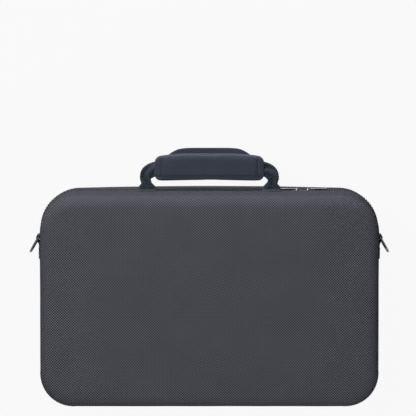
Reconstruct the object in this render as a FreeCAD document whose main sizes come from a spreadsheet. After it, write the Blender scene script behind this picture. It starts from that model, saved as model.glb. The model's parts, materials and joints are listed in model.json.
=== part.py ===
import FreeCAD, Part
import Sketcher
import math
import os

# Console carrying case: two moulded half shells, a zipper, paired handles, rings,
# hold-down straps and a lid organizer. Millimetres, lying on its base, handle side at -Y.

DRIVING = {
    # shells
    "case_width": 450.0,
    "case_length": 283.0,
    "base_depth": 75.0,
    "lid_depth": 75.0,
    "corner_radius": 50.0,
    "draft_angle": 0.7,
    "face_fillet": 14.0,
    "floor_fillet": 9.0,
    "wall": 5.0,
    "rim_wall": 4.0,
    "rebate_height": 14.0,
    # zipper and bindings
    "zip_gap": 9.0,
    "seam_clearance": 0.1,
    "tape_thickness": 0.9,
    "coil_thickness": 2.4,
    "coil_height": 2.4,
    "binding_setback": 1.6,
    "zip_end_half": 172.0,
    # hinge
    "hinge_half_width": 165.0,
    "hinge_reach": 22.0,
    "hinge_thickness": 1.2,
    # handles
    "leg_spacing": 166.0,
    "webbing_width": 24.0,
    "neck_width": 14.0,
    "leg_bulge": 10.0,
    "leg_thickness": 3.2,
    "handle_lift": 7.0,
    "hub_radius": 2.2,
    "hub_clearance": 0.4,
    "anchor_thickness": 1.8,
    "anchor_height": 13.0,
    "grip_length": 147.0,
    "grip_start": 7.8,
    "grip_width": 33.0,
    "grip_thickness": 12.0,
    "grip_corner": 4.0,
    "grip_round": 4.5,
    "sleeve_clearance": 0.3,
    "run_width": 18.0,
    "flap_length": 117.0,
    "flap_start": 11.3,
    "flap_reach": 48.9,
    "flap_tip": 84.0,
    "flap_corner": 14.0,
    "flap_thickness": 3.0,
    # rings
    "ring_height": 42.0,
    "ring_pos": 75.0,
    "ring_wire": 3.4,
    "ring_gap": 26.0,
    "ring_leg": 8.0,
    "ring_splay": 30.0,
    "ring_bore_clearance": 0.3,
    "tab_width": 25.0,
    "tab_length": 40.0,
    "tab_thickness": 1.9,
    "tab_seat": 0.05,
    # hold-down straps and buckles
    "strap_offset": 115.0,
    "strap_width": 25.0,
    "strap_thickness": 1.6,
    "strap_seat": 0.3,
    "strap_top": 53.0,
    "strap_sewn": 8.0,
    "strap_rise": 26.0,
    "strap_landing": 110.0,
    "buckle_width": 35.0,
    "buckle_thickness": 8.4,
    "buckle_corner": 4.0,
    "socket_length": 30.0,
    "socket_setback": 22.0,
    "socket_wall": 5.0,
    "mouth_height": 4.2,
    "mouth_depth": 23.0,
    "window_length": 11.0,
    "window_inset": 9.0,
    "plug_length": 11.0,
    "plug_corner": 2.5,
    "plug_fit": 0.3,
    "prong_length": 20.0,
    "prong_width": 4.6,
    "tongue_width": 6.0,
    "eye_depth": 5.0,
    # zipper sliders
    "slider_length": 14.0,
    "slider_meet": -125.0,
    "slider_gap": 0.5,
    "slider_wall": 0.9,
    "slider_clearance": 0.3,
    "pin_radius": 0.8,
    "pin_offset": 1.1,
    "lug_height": 1.2,
    "lug_length": 4.0,
    "knuckle_radius": 1.6,
    "knuckle_height": 2.8,
    "pull_length": 24.0,
    "pull_height": 6.0,
    "pull_thickness": 1.4,
    # lid organizer
    "panel_margin": 25.0,
    "panel_corner": 22.0,
    "panel_thickness": 2.0,
    "organizer_margin": 4.0,
    "slot_length": 86.0,
    "slot_thickness": 2.6,
    "slot_pitch": 36.0,
    "slot_first": 96.0,
    "slot_groove": 1.6,
    "slot_groove_depth": 1.2,
    "pocket_gap": 4.0,
    "pocket_bulge": 13.0,
    "pocket_wall": 1.5,
    "pocket_fillet": 5.0,
    "trim_width": 9.0,
    "trim_thickness": 1.2,
}

DERIVED = {
    "draft_slope": "=tan(draft_angle * 1 deg)",
    "ground": "0",
    "total_height": "=base_depth + lid_depth",
    "lid_floor": "=total_height - wall",
    "half_length": "=case_length / 2",
    "half_width": "=case_width / 2",
    "base_rim": "=base_depth - zip_gap / 2",
    "lid_rim": "=base_depth + zip_gap / 2",
    "lid_height": "=lid_depth - zip_gap / 2",
    "mouth_width": "=case_width - 2 * rim_wall",
    "mouth_length": "=case_length - 2 * rim_wall",
    "mouth_radius": "=corner_radius - rim_wall",
    "ledge_offset": "=wall + rebate_height * draft_slope",
    "bay_width": "=case_width - 2 * ledge_offset",
    "bay_length": "=case_length - 2 * ledge_offset",
    "bay_radius": "=corner_radius - ledge_offset",
    "base_ledge": "=base_rim - rebate_height",
    "lid_ledge": "=lid_rim + rebate_height",
    "base_bay_depth": "=base_ledge - wall",
    "lid_bay_depth": "=total_height - lid_ledge - wall",
    # zipper
    "base_seam": "=base_depth - seam_clearance",
    "lid_seam": "=base_depth + seam_clearance",
    "tape_inner_width": "=mouth_width - 2 * tape_thickness",
    "tape_inner_length": "=mouth_length - 2 * tape_thickness",
    "tape_inner_radius": "=mouth_radius - tape_thickness",
    "tape_height": "=rebate_height + zip_gap / 2 - seam_clearance",
    "coil_outer_width": "=mouth_width + 2 * coil_thickness",
    "coil_outer_length": "=mouth_length + 2 * coil_thickness",
    "coil_outer_radius": "=mouth_radius + coil_thickness",
    "binding_height": "=tape_height - binding_setback",
    "base_binding": "=base_seam - binding_setback",
    "lid_binding": "=lid_seam + binding_setback",
    "zip_end_width": "=2 * zip_end_half",
    "zip_cut_start": "=half_length - corner_radius / 2",
    # hinge strip
    "hinge_width": "=2 * hinge_half_width",
    "hinge_far": "=half_length + hinge_thickness",
    "hinge_low": "=base_depth - hinge_reach",
    "hinge_high": "=base_depth + hinge_reach",
    "hinge_end": "=half_length - (hinge_reach - zip_gap / 2) * draft_slope",
    "hinge_end_far": "=hinge_end + hinge_thickness",
    # handles
    "lid_axis_height": "=base_depth + handle_lift",
    "base_axis_height": "=base_depth - handle_lift",
    "axis_wall_gap": "=half_length + anchor_thickness + hub_radius + hub_clearance",
    "anchor_run": "=anchor_thickness * cos(draft_angle * 1 deg)",
    "anchor_drop": "=anchor_thickness * sin(draft_angle * 1 deg)",
    "lid_anchor_front": "=half_length + anchor_run + tab_seat",
    "lid_anchor_low": "=lid_rim + anchor_drop",
    "base_anchor_front": "=half_length + anchor_run + tab_seat - anchor_height * sin(draft_angle * 1 deg)",
    "base_anchor_low": "=base_rim - anchor_drop - anchor_height * cos(draft_angle * 1 deg)",
    "leg_half": "=leg_spacing / 2",
    "anchor_x_left": "=-leg_half - webbing_width / 2",
    "anchor_x_right": "=leg_half - webbing_width / 2",
    "grip_mid": "=grip_start + grip_width / 2",
    "grip_low": "=-grip_thickness / 2",
    "grip_high": "=grip_thickness / 2",
    "grip_centre": "=axis_wall_gap + grip_mid",
    "tunnel_length": "=2 * grip_length",
    "sleeve_width": "=run_width + 2 * sleeve_clearance",
    "sleeve_height": "=leg_thickness + 2 * sleeve_clearance",
    "sleeve_corner": "=sleeve_height / 5",
    "flap_half": "=flap_length / 2",
    "flap_tip_half": "=flap_tip / 2",
    "flap_shoulder": "=grip_start + grip_width - grip_corner",
    "flap_low": "=-grip_thickness / 2 - flap_thickness",
    # rings
    "ring_wall": "=half_width - (base_rim - ring_height) * draft_slope",
    "wire_radius": "=ring_wire / 2",
    "ring_half": "=ring_gap / 2 + wire_radius",
    "loop_inner": "=wire_radius + ring_bore_clearance",
    "loop_outer": "=loop_inner + tab_thickness",
    "ring_offset": "=loop_outer + tab_seat",
    "ring_axis_x": "=ring_wall + ring_offset * cos(draft_angle * 1 deg)",
    "ring_axis_z": "=ring_height - ring_offset * sin(draft_angle * 1 deg)",
    "tab_half": "=tab_width / 2",
    "tab_low": "=tab_seat",
    "tab_high": "=tab_seat + tab_thickness",
    # buckles
    "floor_height": "=wall",
    "front_floor": "=half_length - base_rim * draft_slope - wall",
    "socket_front": "=front_floor - socket_setback",
    "socket_back": "=socket_front - socket_length",
    "buckle_low": "=floor_height + strap_seat",
    "buckle_mid": "=buckle_low + buckle_thickness / 2",
    "mouth_clear_width": "=buckle_width - 2 * socket_wall",
    "prong_height": "=mouth_height - 2 * plug_fit",
    "prong_outer": "=mouth_clear_width / 2 - plug_fit",
    "prong_inner": "=prong_outer - prong_width",
    "eye_width": "=strap_width + 2 * plug_fit",
    "eye_height": "=strap_thickness + 2 * plug_fit",
    "socket_half": "=socket_length / 2",
    "socket_centre": "=socket_front - socket_half",
    "mouth_half": "=mouth_clear_width / 2",
    "mouth_low": "=buckle_mid - mouth_height / 2",
    "mouth_high": "=buckle_mid + mouth_height / 2",
    "window_near": "=socket_half - window_inset",
    "window_far": "=window_length - window_near",
    "window_cut": "=2 * buckle_width",
    "eye_half": "=eye_width / 2",
    "eye_low": "=buckle_mid - eye_height / 2",
    "eye_high": "=buckle_mid + eye_height / 2",
    "eye_cut": "=eye_depth + plug_fit",
    "plug_half": "=plug_length / 2",
    "plug_centre": "=socket_back - plug_fit - plug_half",
    "plug_back": "=plug_centre - plug_half",
    "plug_root": "=plug_half - 1",
    "prong_tip": "=plug_half + prong_length",
    "prong_low": "=buckle_mid - prong_height / 2",
    "tongue_half": "=tongue_width / 2",
    # sliders
    "plate_outer": "=half_length - rim_wall + coil_thickness + slider_clearance + slider_wall",
    "plate_inner": "=plate_outer - slider_wall",
    "flange_inner": "=half_length - rim_wall + slider_clearance",
    "flange_top": "=base_depth - seam_clearance - coil_height - slider_clearance",
    "flange_low": "=base_rim + slider_clearance",
    "plate_top": "=lid_rim - slider_clearance",
    "pin_x": "=plate_outer + pin_offset + pin_radius",
    "knuckle_bore": "=pin_radius + slider_clearance",
    "lug_gap": "=knuckle_height / 2 + slider_clearance",
    "slider_half": "=slider_length / 2",
    "slider_start": "=slider_meet - slider_gap",
    "slider_end": "=slider_meet + slider_length + slider_gap",
    "lug_low_start": "=base_depth - lug_gap - lug_height",
    "lug_low_end": "=base_depth - lug_gap",
    "lug_high_start": "=base_depth + lug_gap",
    "lug_near": "=slider_half - lug_length / 2",
    "lug_far": "=slider_half + lug_length / 2",
    "lug_tip": "=pin_x + pin_radius + slider_clearance",
    "pin_length": "=2 * lug_gap",
    "knuckle_low": "=base_depth - knuckle_height / 2",
    "pull_low": "=base_depth - pull_height / 2",
    "pull_half": "=pull_thickness / 2",
    "pull_clear": "=lug_length / 2 + 1",
    "pull_neck": "=pull_clear + 1",
    "pull_start": "=slider_meet - slider_gap - slider_half",
    "pull_end": "=slider_meet + slider_gap + slider_half",
    # organizer
    "panel_width": "=case_width - 2 * panel_margin",
    "panel_length": "=case_length - 2 * panel_margin",
    "panel_top": "=total_height - wall",
    "panel_low": "=panel_top - panel_thickness",
    "organizer_width": "=panel_width - 2 * organizer_margin",
    "organizer_front": "=panel_length / 2 - organizer_margin",
    "slot_back": "=organizer_front - slot_length",
    "pocket_front": "=slot_back - pocket_gap",
    "pocket_width": "=(organizer_width - pocket_gap) / 2",
    "pocket_mid": "=(pocket_width + pocket_gap) / 2",
    "pocket_depth": "=pocket_bulge - pocket_wall",
    "pocket_clear_width": "=pocket_width - 2 * pocket_wall",
    "pocket_low": "=panel_low - pocket_bulge",
    "slot_low": "=panel_low - slot_thickness",
    "slot_half": "=organizer_width / 2",
    "slot_row": "=7 * slot_pitch",
    "groove_far": "=slot_first - slot_groove",
    "pocket_half": "=pocket_width / 2",
    "pocket_clear_half": "=pocket_clear_width / 2",
    "pocket_back": "=organizer_front - pocket_wall",
    "pocket_trim_back": "=pocket_front - trim_width",
    "trim_half": "=pocket_half - pocket_fillet",
    "seam_trim": "=slot_thickness + trim_thickness",
}

SIDES = {"left": -1, "right": 1}

doc = FreeCAD.newDocument("ConsoleCase")
sheet = doc.addObject("Spreadsheet::Sheet", "Sizes")
for row, (name, content) in enumerate({**DRIVING, **DERIVED}.items(), start=1):
    sheet.set(f"A{row}", name)
    sheet.set(f"B{row}", str(content))
    sheet.setAlias(f"B{row}", name)
doc.recompute()


def size(name):
    """Value of a named size, or of its negative when the name starts with a minus."""
    if name.startswith("-"):
        return -size(name[1:])
    return float(getattr(sheet.get(name), "Value", sheet.get(name)))


def bound(name):
    """Formula that ties a property to a named size."""
    return f"-Sizes.{name[1:]}" if name.startswith("-") else f"Sizes.{name}"


def bind(target, **properties):
    """Tie properties of a document object to named sizes."""
    for key, name in properties.items():
        target.setExpression(key.replace("__", "."), bound(name))


def place(body, x=None, y=None, z=None):
    """Tie the position of an object to named sizes."""
    for axis, name in (("x", x), ("y", y), ("z", z)):
        if name:
            body.setExpression(f"Placement.Base.{axis}", bound(name))


def new_body(name):
    return doc.addObject("PartDesign::Body", name)


def new_sketch(body, role="XY_Plane", lift=None):
    """Sketch on an origin plane of the body, lifted along the plane's normal."""
    sketch = body.newObject("Sketcher::SketchObject", f"{body.Name}_sketch")
    plane = next(item for item in body.Origin.OriginFeatures if item.Role == role)
    sketch.AttachmentSupport = (plane, [""])
    sketch.MapMode = "FlatFace"
    if lift:
        sketch.setExpression("AttachmentOffset.Base.z", bound(lift))
    doc.recompute()
    return sketch


def dimension(sketch, kind, *where, name):
    """Dimension tied to a named size."""
    index = sketch.addConstraint(Sketcher.Constraint(kind, *where, size(name)))
    sketch.setExpression(f"Constraints[{index}]", bound(name))


def add_rounded_rectangle(sketch, width, length, radius):
    """Centred rectangle with round corners."""
    half_w, half_l, r = size(width) / 2, size(length) / 2, size(radius)
    first = sketch.GeometryCount
    vector = FreeCAD.Vector
    ends = (
        ((r - half_w, -half_l), (half_w - r, -half_l)),
        ((half_w, r - half_l), (half_w, half_l - r)),
        ((half_w - r, half_l), (r - half_w, half_l)),
        ((-half_w, half_l - r), (-half_w, r - half_l)),
    )
    for start, end in ends:
        sketch.addGeometry(Part.LineSegment(vector(*start), vector(*end)))
    corners = ((1, -1), (1, 1), (-1, 1), (-1, -1))
    for turn, (sx, sy) in enumerate(corners):
        circle = Part.Circle(vector(sx * (half_w - r), sy * (half_l - r)), vector(0, 0, 1), r)
        start = (turn - 1) * math.pi / 2
        sketch.addGeometry(Part.ArcOfCircle(circle, start, start + math.pi / 2))
    for side in range(4):
        line, arc = first + side, first + 4 + side
        following = first + (side + 1) % 4
        sketch.addConstraint(Sketcher.Constraint("Tangent", line, 2, arc, 1))
        sketch.addConstraint(Sketcher.Constraint("Tangent", arc, 2, following, 1))
    for side in range(1, 4):
        sketch.addConstraint(Sketcher.Constraint("Equal", first + 4, first + 4 + side))
    sketch.addConstraint(Sketcher.Constraint("Symmetric", first, 1, first, 2, -2))
    sketch.addConstraint(Sketcher.Constraint("Symmetric", first + 1, 1, first + 1, 2, -1))
    sketch.addConstraint(Sketcher.Constraint("Horizontal", first + 2))
    sketch.addConstraint(Sketcher.Constraint("Vertical", first + 3))
    dimension(sketch, "DistanceX", first + 3, 1, first + 1, 1, name=width)
    dimension(sketch, "DistanceY", first, 1, first + 2, 1, name=length)
    dimension(sketch, "Radius", first + 4, name=radius)


def add_polygon(sketch, corners):
    """Closed polygon; each corner is a pair of named sizes, with 0 for an axis."""
    points = []
    for name_x, name_y in corners:
        x = 0.0 if name_x == 0 else size(name_x)
        y = 0.0 if name_y == 0 else size(name_y)
        points.append(FreeCAD.Vector(x, y, 0))
    first = sketch.GeometryCount
    count = len(points)
    for index, point in enumerate(points):
        sketch.addGeometry(Part.LineSegment(point, points[(index + 1) % count]))
    for index in range(count):
        line, following = first + index, first + (index + 1) % count
        sketch.addConstraint(Sketcher.Constraint("Coincident", line, 2, following, 1))
    for index, (name_x, name_y) in enumerate(corners):
        line = first + index
        for kind, name, axis in (("DistanceX", name_x, -2), ("DistanceY", name_y, -1)):
            if name == 0:
                sketch.addConstraint(Sketcher.Constraint("PointOnObject", line, 1, axis))
            else:
                dimension(sketch, kind, -1, 1, line, 1, name=name)


def add_circle(sketch, radius, x=0, y=0):
    """Circle centred on named sizes."""
    centre = FreeCAD.Vector(size(x) if x else 0, size(y) if y else 0, 0)
    index = sketch.addGeometry(Part.Circle(centre, FreeCAD.Vector(0, 0, 1), size(radius)))
    for kind, name, axis in (("DistanceX", x, -2), ("DistanceY", y, -1)):
        if name == 0:
            sketch.addConstraint(Sketcher.Constraint("PointOnObject", index, 3, axis))
        else:
            dimension(sketch, kind, -1, 1, index, 3, name=name)
    dimension(sketch, "Radius", index, name=radius)


def extrude(body, kind, sketch, length, reverse=False, taper=None):
    """Pad or pocket of a named length."""
    feature = body.newObject(f"PartDesign::{kind}", f"{body.Name}_{kind.lower()}")
    feature.Profile = sketch
    feature.Reversed = reverse
    bind(feature, Length=length)
    if taper:
        bind(feature, TaperAngle=taper)
    body.Tip = feature
    sketch.Visibility = False
    doc.recompute()
    return feature


def fillet(body, radius, wanted):
    """Round the edges of the tip that the test accepts."""
    base = body.Tip
    names = [f"Edge{i}" for i, edge in enumerate(base.Shape.Edges, start=1) if wanted(edge)]
    feature = body.newObject("PartDesign::Fillet", f"{body.Name}_fillet")
    feature.Base = (base, names)
    bind(feature, Radius=radius)
    body.Tip = feature
    doc.recompute()
    return feature


def at_height(height):
    """Test for edges that lie in one horizontal plane."""
    level = size(height)

    def test(edge):
        box = edge.BoundBox
        return abs(box.ZMin - level) < 1e-3 and abs(box.ZMax - level) < 1e-3

    return test


def upright(edge):
    """Test for straight vertical edges."""
    box = edge.BoundBox
    return box.XLength < 1e-3 and box.YLength < 1e-3


def solid_feature(name, shape):
    """Soft piece whose outline is a free curve."""
    feature = doc.addObject("Part::Feature", name)
    feature.Shape = shape
    return feature


# Moulded shells: drafted tray, rounded face edges, rebated mouth, drafted bay
def make_shell(name, rim, height, ledge, bay_depth, face, floor, upward):
    body = new_body(name)
    outline = new_sketch(body, lift=rim)
    add_rounded_rectangle(outline, "case_width", "case_length", "corner_radius")
    extrude(body, "Pad", outline, height, reverse=not upward, taper="-draft_angle")
    fillet(body, "face_fillet", at_height(face))
    mouth = new_sketch(body, lift=rim)
    add_rounded_rectangle(mouth, "mouth_width", "mouth_length", "mouth_radius")
    extrude(body, "Pocket", mouth, "rebate_height", reverse=upward)
    bay = new_sketch(body, lift=ledge)
    add_rounded_rectangle(bay, "bay_width", "bay_length", "bay_radius")
    extrude(body, "Pocket", bay, bay_depth, reverse=upward, taper="-draft_angle")
    fillet(body, "floor_fillet", at_height(floor))
    return body


make_shell("base_shell", "base_rim", "base_rim", "base_ledge", "base_bay_depth", "ground", "wall", False)
make_shell("lid_shell", "lid_rim", "lid_height", "lid_ledge", "lid_bay_depth",
           "total_height", "lid_floor", True)


# Zipper halves and rim bindings: bands that follow the mouth of each shell
def make_band(name, start, height, outer, inner, upward, zipped):
    body = new_body(name)
    ring = new_sketch(body, lift=start)
    for prefix in (outer, inner):
        add_rounded_rectangle(ring, f"{prefix}_width", f"{prefix}_length", f"{prefix}_radius")
    extrude(body, "Pad", ring, height, reverse=not upward)
    if zipped:
        gap = new_sketch(body, lift=start)
        add_polygon(gap, (
            ("-zip_end_half", "zip_cut_start"),
            ("zip_end_half", "zip_cut_start"),
            ("zip_end_half", "case_length"),
            ("-zip_end_half", "case_length"),
        ))
        extrude(body, "Pocket", gap, height, reverse=upward)
    return body


for half, upward in (("base", False), ("lid", True)):
    make_band(f"{half}_zipper_tape", f"{half}_seam", "tape_height", "mouth", "tape_inner", upward, True)
    make_band(f"{half}_zipper_coil", f"{half}_seam", "coil_height", "coil_outer", "mouth", upward, True)
    band = f"{half}_binding"
    make_band(f"{half}_rim_binding", band, "binding_height", "tape_inner", "bay", upward, False)


# Hinge strip: one cloth band glued over both drafted hinge walls
hinge = new_body("hinge_tape")
section = new_sketch(hinge, "YZ_Plane", lift="-hinge_half_width")
add_polygon(section, (
    ("half_length", "base_rim"),
    ("hinge_end", "hinge_low"),
    ("hinge_end_far", "hinge_low"),
    ("hinge_far", "base_rim"),
    ("hinge_far", "lid_rim"),
    ("hinge_end_far", "hinge_high"),
    ("hinge_end", "hinge_high"),
    ("half_length", "lid_rim"),
))
extrude(hinge, "Pad", section, "hinge_width")


# Handles: sewn feet, a webbing loop with round roots, a padded sleeve, a wrap on the base side
def webbing_outline():
    """Half outline of the webbing, from the root to the middle of the run."""
    leg = size("leg_half")
    root, neck = size("webbing_width") / 2, size("neck_width") / 2
    run, mid = size("run_width") / 2, size("grip_mid")
    bulge, start = size("leg_bulge"), size("grip_start")
    run_end = size("grip_length") / 2 + size("sleeve_clearance")
    outer = [(leg + root, 0), (leg + neck, start * 0.6), (leg + bulge, start * 1.3),
             (leg + neck * 0.3, mid + run * 0.2), (run_end, mid + run)]
    inner = [(run_end, mid - run), (leg - neck, start * 0.9), (leg - root, 0)]
    return outer, inner


def curve_through(points):
    curve = Part.BSplineCurve()
    curve.interpolate([FreeCAD.Vector(x, y, 0) for x, y in points])
    return curve.toShape()


def line_through(start, end):
    return Part.makeLine(FreeCAD.Vector(*start, 0), FreeCAD.Vector(*end, 0))


def mirrored(points):
    return [(-x, y) for x, y in reversed(points)]


def make_webbing(name, height):
    outer, inner = webbing_outline()
    edges = [
        curve_through(outer),
        line_through(outer[-1], mirrored(outer)[0]),
        curve_through(mirrored(outer)),
        line_through(mirrored(outer)[-1], mirrored(inner)[0]),
        curve_through(mirrored(inner)),
        line_through(mirrored(inner)[-1], inner[0]),
        curve_through(inner),
        line_through(inner[-1], outer[0]),
    ]
    face = Part.Face(Part.Wire(edges))
    thickness = size("leg_thickness")
    band = face.extrude(FreeCAD.Vector(0, 0, thickness))
    band.translate(FreeCAD.Vector(0, 0, -thickness / 2))
    for side in SIDES.values():
        start = FreeCAD.Vector(side * size("leg_half") - size("webbing_width") / 2, 0, 0)
        hub = Part.makeCylinder(size("hub_radius"), size("webbing_width"), start, FreeCAD.Vector(1, 0, 0))
        band = band.fuse(hub)
    band = band.removeSplitter()
    band.rotate(FreeCAD.Vector(0, 0, 0), FreeCAD.Vector(1, 0, 0), 180)
    feature = solid_feature(name, band.Solids[0])
    place(feature, y="-axis_wall_gap", z=height)
    return feature


def make_grip(name, height):
    body = new_body(name)
    outline = new_sketch(body, lift="grip_low")
    add_rounded_rectangle(outline, "grip_length", "grip_width", "grip_corner")
    extrude(body, "Pad", outline, "grip_thickness")
    rims = [at_height("grip_low"), at_height("grip_high")]
    fillet(body, "grip_round", lambda edge: any(test(edge) for test in rims))
    tunnel = new_sketch(body, "YZ_Plane", lift="-grip_length")
    add_rounded_rectangle(tunnel, "sleeve_width", "sleeve_height", "sleeve_corner")
    extrude(body, "Pocket", tunnel, "tunnel_length", reverse=True)
    place(body, y="-grip_centre", z=height)
    return body


for half in ("lid", "base"):
    make_webbing(f"{half}_handle_strap", f"{half}_axis_height")
    make_grip(f"{half}_handle_grip", f"{half}_axis_height")

flap = new_body("base_handle_flap")
outline = new_sketch(flap, lift="flap_low")
add_polygon(outline, (
    ("-flap_half", "-flap_start"),
    ("-flap_half", "-flap_shoulder"),
    ("-flap_tip_half", "-flap_reach"),
    ("flap_tip_half", "-flap_reach"),
    ("flap_half", "-flap_shoulder"),
    ("flap_half", "-flap_start"),
))
extrude(flap, "Pad", outline, "flap_thickness")
flap_root = -size("flap_start") - 1
fillet(flap, "flap_corner", lambda edge: upright(edge) and edge.BoundBox.YMin < flap_root)
place(flap, y="-axis_wall_gap", z="base_axis_height")

for half, turn in (("lid", 1), ("base", -1)):
    for side, sign in SIDES.items():
        foot = doc.addObject("Part::Box", f"{half}_handle_anchor_{side}")
        bind(foot, Length="webbing_width", Width="anchor_thickness", Height="anchor_height")
        angle = -turn * size("draft_angle")
        foot.Placement.Rotation = FreeCAD.Rotation(FreeCAD.Vector(1, 0, 0), angle)
        place(foot, x=f"anchor_x_{side}", y=f"-{half}_anchor_front", z=f"{half}_anchor_low")


# Shoulder rings: a webbing tab with a rolled loop, and a D-ring whose bar turns in the loop
def make_tab(name, sign):
    mark = "" if sign > 0 else "-"
    body = new_body(name)
    strip = new_sketch(body, lift="-tab_half")
    add_polygon(strip, (
        (f"{mark}tab_low", 0),
        (f"{mark}tab_high", 0),
        (f"{mark}tab_high", "tab_length"),
        (f"{mark}tab_low", "tab_length"),
    ))
    extrude(body, "Pad", strip, "tab_width")
    roll = new_sketch(body, lift="-tab_half")
    add_circle(roll, "loop_outer", f"{mark}ring_offset")
    extrude(body, "Pad", roll, "tab_width")
    bore = new_sketch(body, lift="-tab_half")
    add_circle(bore, "loop_inner", f"{mark}ring_offset")
    extrude(body, "Pocket", bore, "tab_width", reverse=True)
    return body


def make_ring(name, sign):
    radius, half, leg = size("wire_radius"), size("ring_half"), size("ring_leg")
    splay = math.radians(size("ring_splay"))
    up, along = FreeCAD.Vector(0, 0, 1), FreeCAD.Vector(sign * math.sin(splay), math.cos(splay), 0)
    ends = (up * -half, up * half)
    pieces = [Part.makeCylinder(radius, 2 * half, ends[0], up)]
    for end in ends:
        pieces.append(Part.makeSphere(radius, end))
        pieces.append(Part.makeCylinder(radius, leg, end, along))
    section = Part.Face(Part.Wire(Part.makeCircle(radius, ends[0] + along * leg, along)))
    pieces.append(section.revolve(along * leg, along.cross(up), 180))
    ring = pieces[0].multiFuse(pieces[1:]).removeSplitter()
    return solid_feature(name, ring.Solids[0])


for side, sign in SIDES.items():
    mark = "" if sign > 0 else "-"
    tilt = FreeCAD.Rotation(FreeCAD.Vector(0, 1, 0), sign * size("draft_angle"))
    tab = make_tab(f"ring_tab_{side}", sign)
    tab.Placement.Rotation = tilt
    place(tab, x=f"{mark}ring_wall", y="-ring_pos", z="ring_height")
    ring = make_ring(f"d_ring_{side}", sign)
    ring.Placement.Rotation = tilt
    place(ring, x=f"{mark}ring_axis_x", y="-ring_pos", z="ring_axis_z")


# Hold-down straps: ribbons drawn in side view, buckles on the floor near the front wall
def make_ribbon(name, points, sign):
    """Strap whose middle line runs through points in the side view."""
    half, edge = size("strap_thickness") / 2, -size("strap_width") / 2
    middle = Part.BSplineCurve()
    middle.interpolate([FreeCAD.Vector(edge, y, z) for y, z in points])
    first, last = middle.FirstParameter, middle.LastParameter
    steps = 40
    sides = {1: [], -1: []}
    for step in range(steps + 1):
        at = first + (last - first) * step / steps
        along = middle.tangent(at)[0]
        across = FreeCAD.Vector(0, -along.z, along.y)
        for way in sides:
            sides[way].append(middle.value(at) + across * half * way)
    upper, lower = Part.BSplineCurve(), Part.BSplineCurve()
    upper.interpolate(sides[1])
    lower.interpolate(sides[-1])
    wire = Part.Wire([
        upper.toShape(),
        Part.makeLine(sides[1][-1], sides[-1][-1]),
        lower.toShape(),
        Part.makeLine(sides[-1][0], sides[1][0]),
    ])
    ribbon = Part.Face(wire).extrude(FreeCAD.Vector(size("strap_width"), 0, 0))
    feature = solid_feature(name, ribbon)
    place(feature, x="strap_offset" if sign > 0 else "-strap_offset")
    return feature


def wall_y(height):
    """Distance of the bay wall from the middle at a height above the ground."""
    return size("half_length") - size("ledge_offset") - (size("base_ledge") - height) * size("draft_slope")


def strap_points():
    """Middle lines of the long and the short strap, as (y, z) pairs."""
    off = size("strap_thickness") / 2 + size("strap_seat")
    floor, top, sewn = size("floor_height") + off, size("strap_top"), size("strap_sewn")
    mid, plug_end = size("buckle_mid"), -size("plug_back") - size("eye_depth")
    landing = size("strap_landing")
    long_line = [(wall_y(top - sewn * part) - 1.4 * off, top - sewn * part) for part in (0, 0.3, 0.6, 0.85)]
    leave, drop = wall_y(top - sewn) - 1.4 * off, top - sewn - floor
    for part in (0.03, 0.1, 0.2, 0.35, 0.5, 0.65, 0.8, 0.92, 1.0):
        long_line.append((leave - landing * part, floor + drop * (1 - part) ** 2))
    flat = leave - landing - plug_end
    long_line += [(plug_end + flat * part, floor) for part in (0.9, 0.7, 0.45)]
    long_line.append((plug_end + 4 * size("eye_depth"), floor + off))
    long_line += [(plug_end + size("eye_depth"), mid), (plug_end, mid)]
    tail, rise = -size("socket_front") + size("eye_depth"), size("strap_rise")
    short_line = [(off - wall_y(rise - sewn * part), rise - sewn * part) for part in (0, 0.3, 0.6, 0.85)]
    turn, fall = off - wall_y(rise - sewn), rise - sewn - mid
    span = tail - size("eye_depth") - turn
    short_line += [(turn + span * part, mid + fall * (1 - part) ** 2) for part in (0.1, 0.3, 0.6, 1.0)]
    short_line.append((tail, mid))
    return long_line, short_line


def make_socket(name, sign):
    body = new_body(name)
    block = new_sketch(body, lift="buckle_low")
    add_rounded_rectangle(block, "buckle_width", "socket_length", "buckle_corner")
    extrude(body, "Pad", block, "buckle_thickness")
    mouth = new_sketch(body, "XZ_Plane", lift="-socket_half")
    add_polygon(mouth, (
        ("-mouth_half", "mouth_low"), ("mouth_half", "mouth_low"),
        ("mouth_half", "mouth_high"), ("-mouth_half", "mouth_high"),
    ))
    extrude(body, "Pocket", mouth, "mouth_depth", reverse=True)
    window = new_sketch(body, "YZ_Plane", lift="-buckle_width")
    add_polygon(window, (
        ("-window_far", "mouth_low"), ("window_near", "mouth_low"),
        ("window_near", "mouth_high"), ("-window_far", "mouth_high"),
    ))
    extrude(body, "Pocket", window, "window_cut", reverse=True)
    eye = new_sketch(body, "XZ_Plane", lift="socket_half")
    add_polygon(eye, (
        ("-eye_half", "eye_low"), ("eye_half", "eye_low"),
        ("eye_half", "eye_high"), ("-eye_half", "eye_high"),
    ))
    extrude(body, "Pocket", eye, "eye_cut")
    place(body, x="strap_offset" if sign > 0 else "-strap_offset", y="-socket_centre")
    return body


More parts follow.
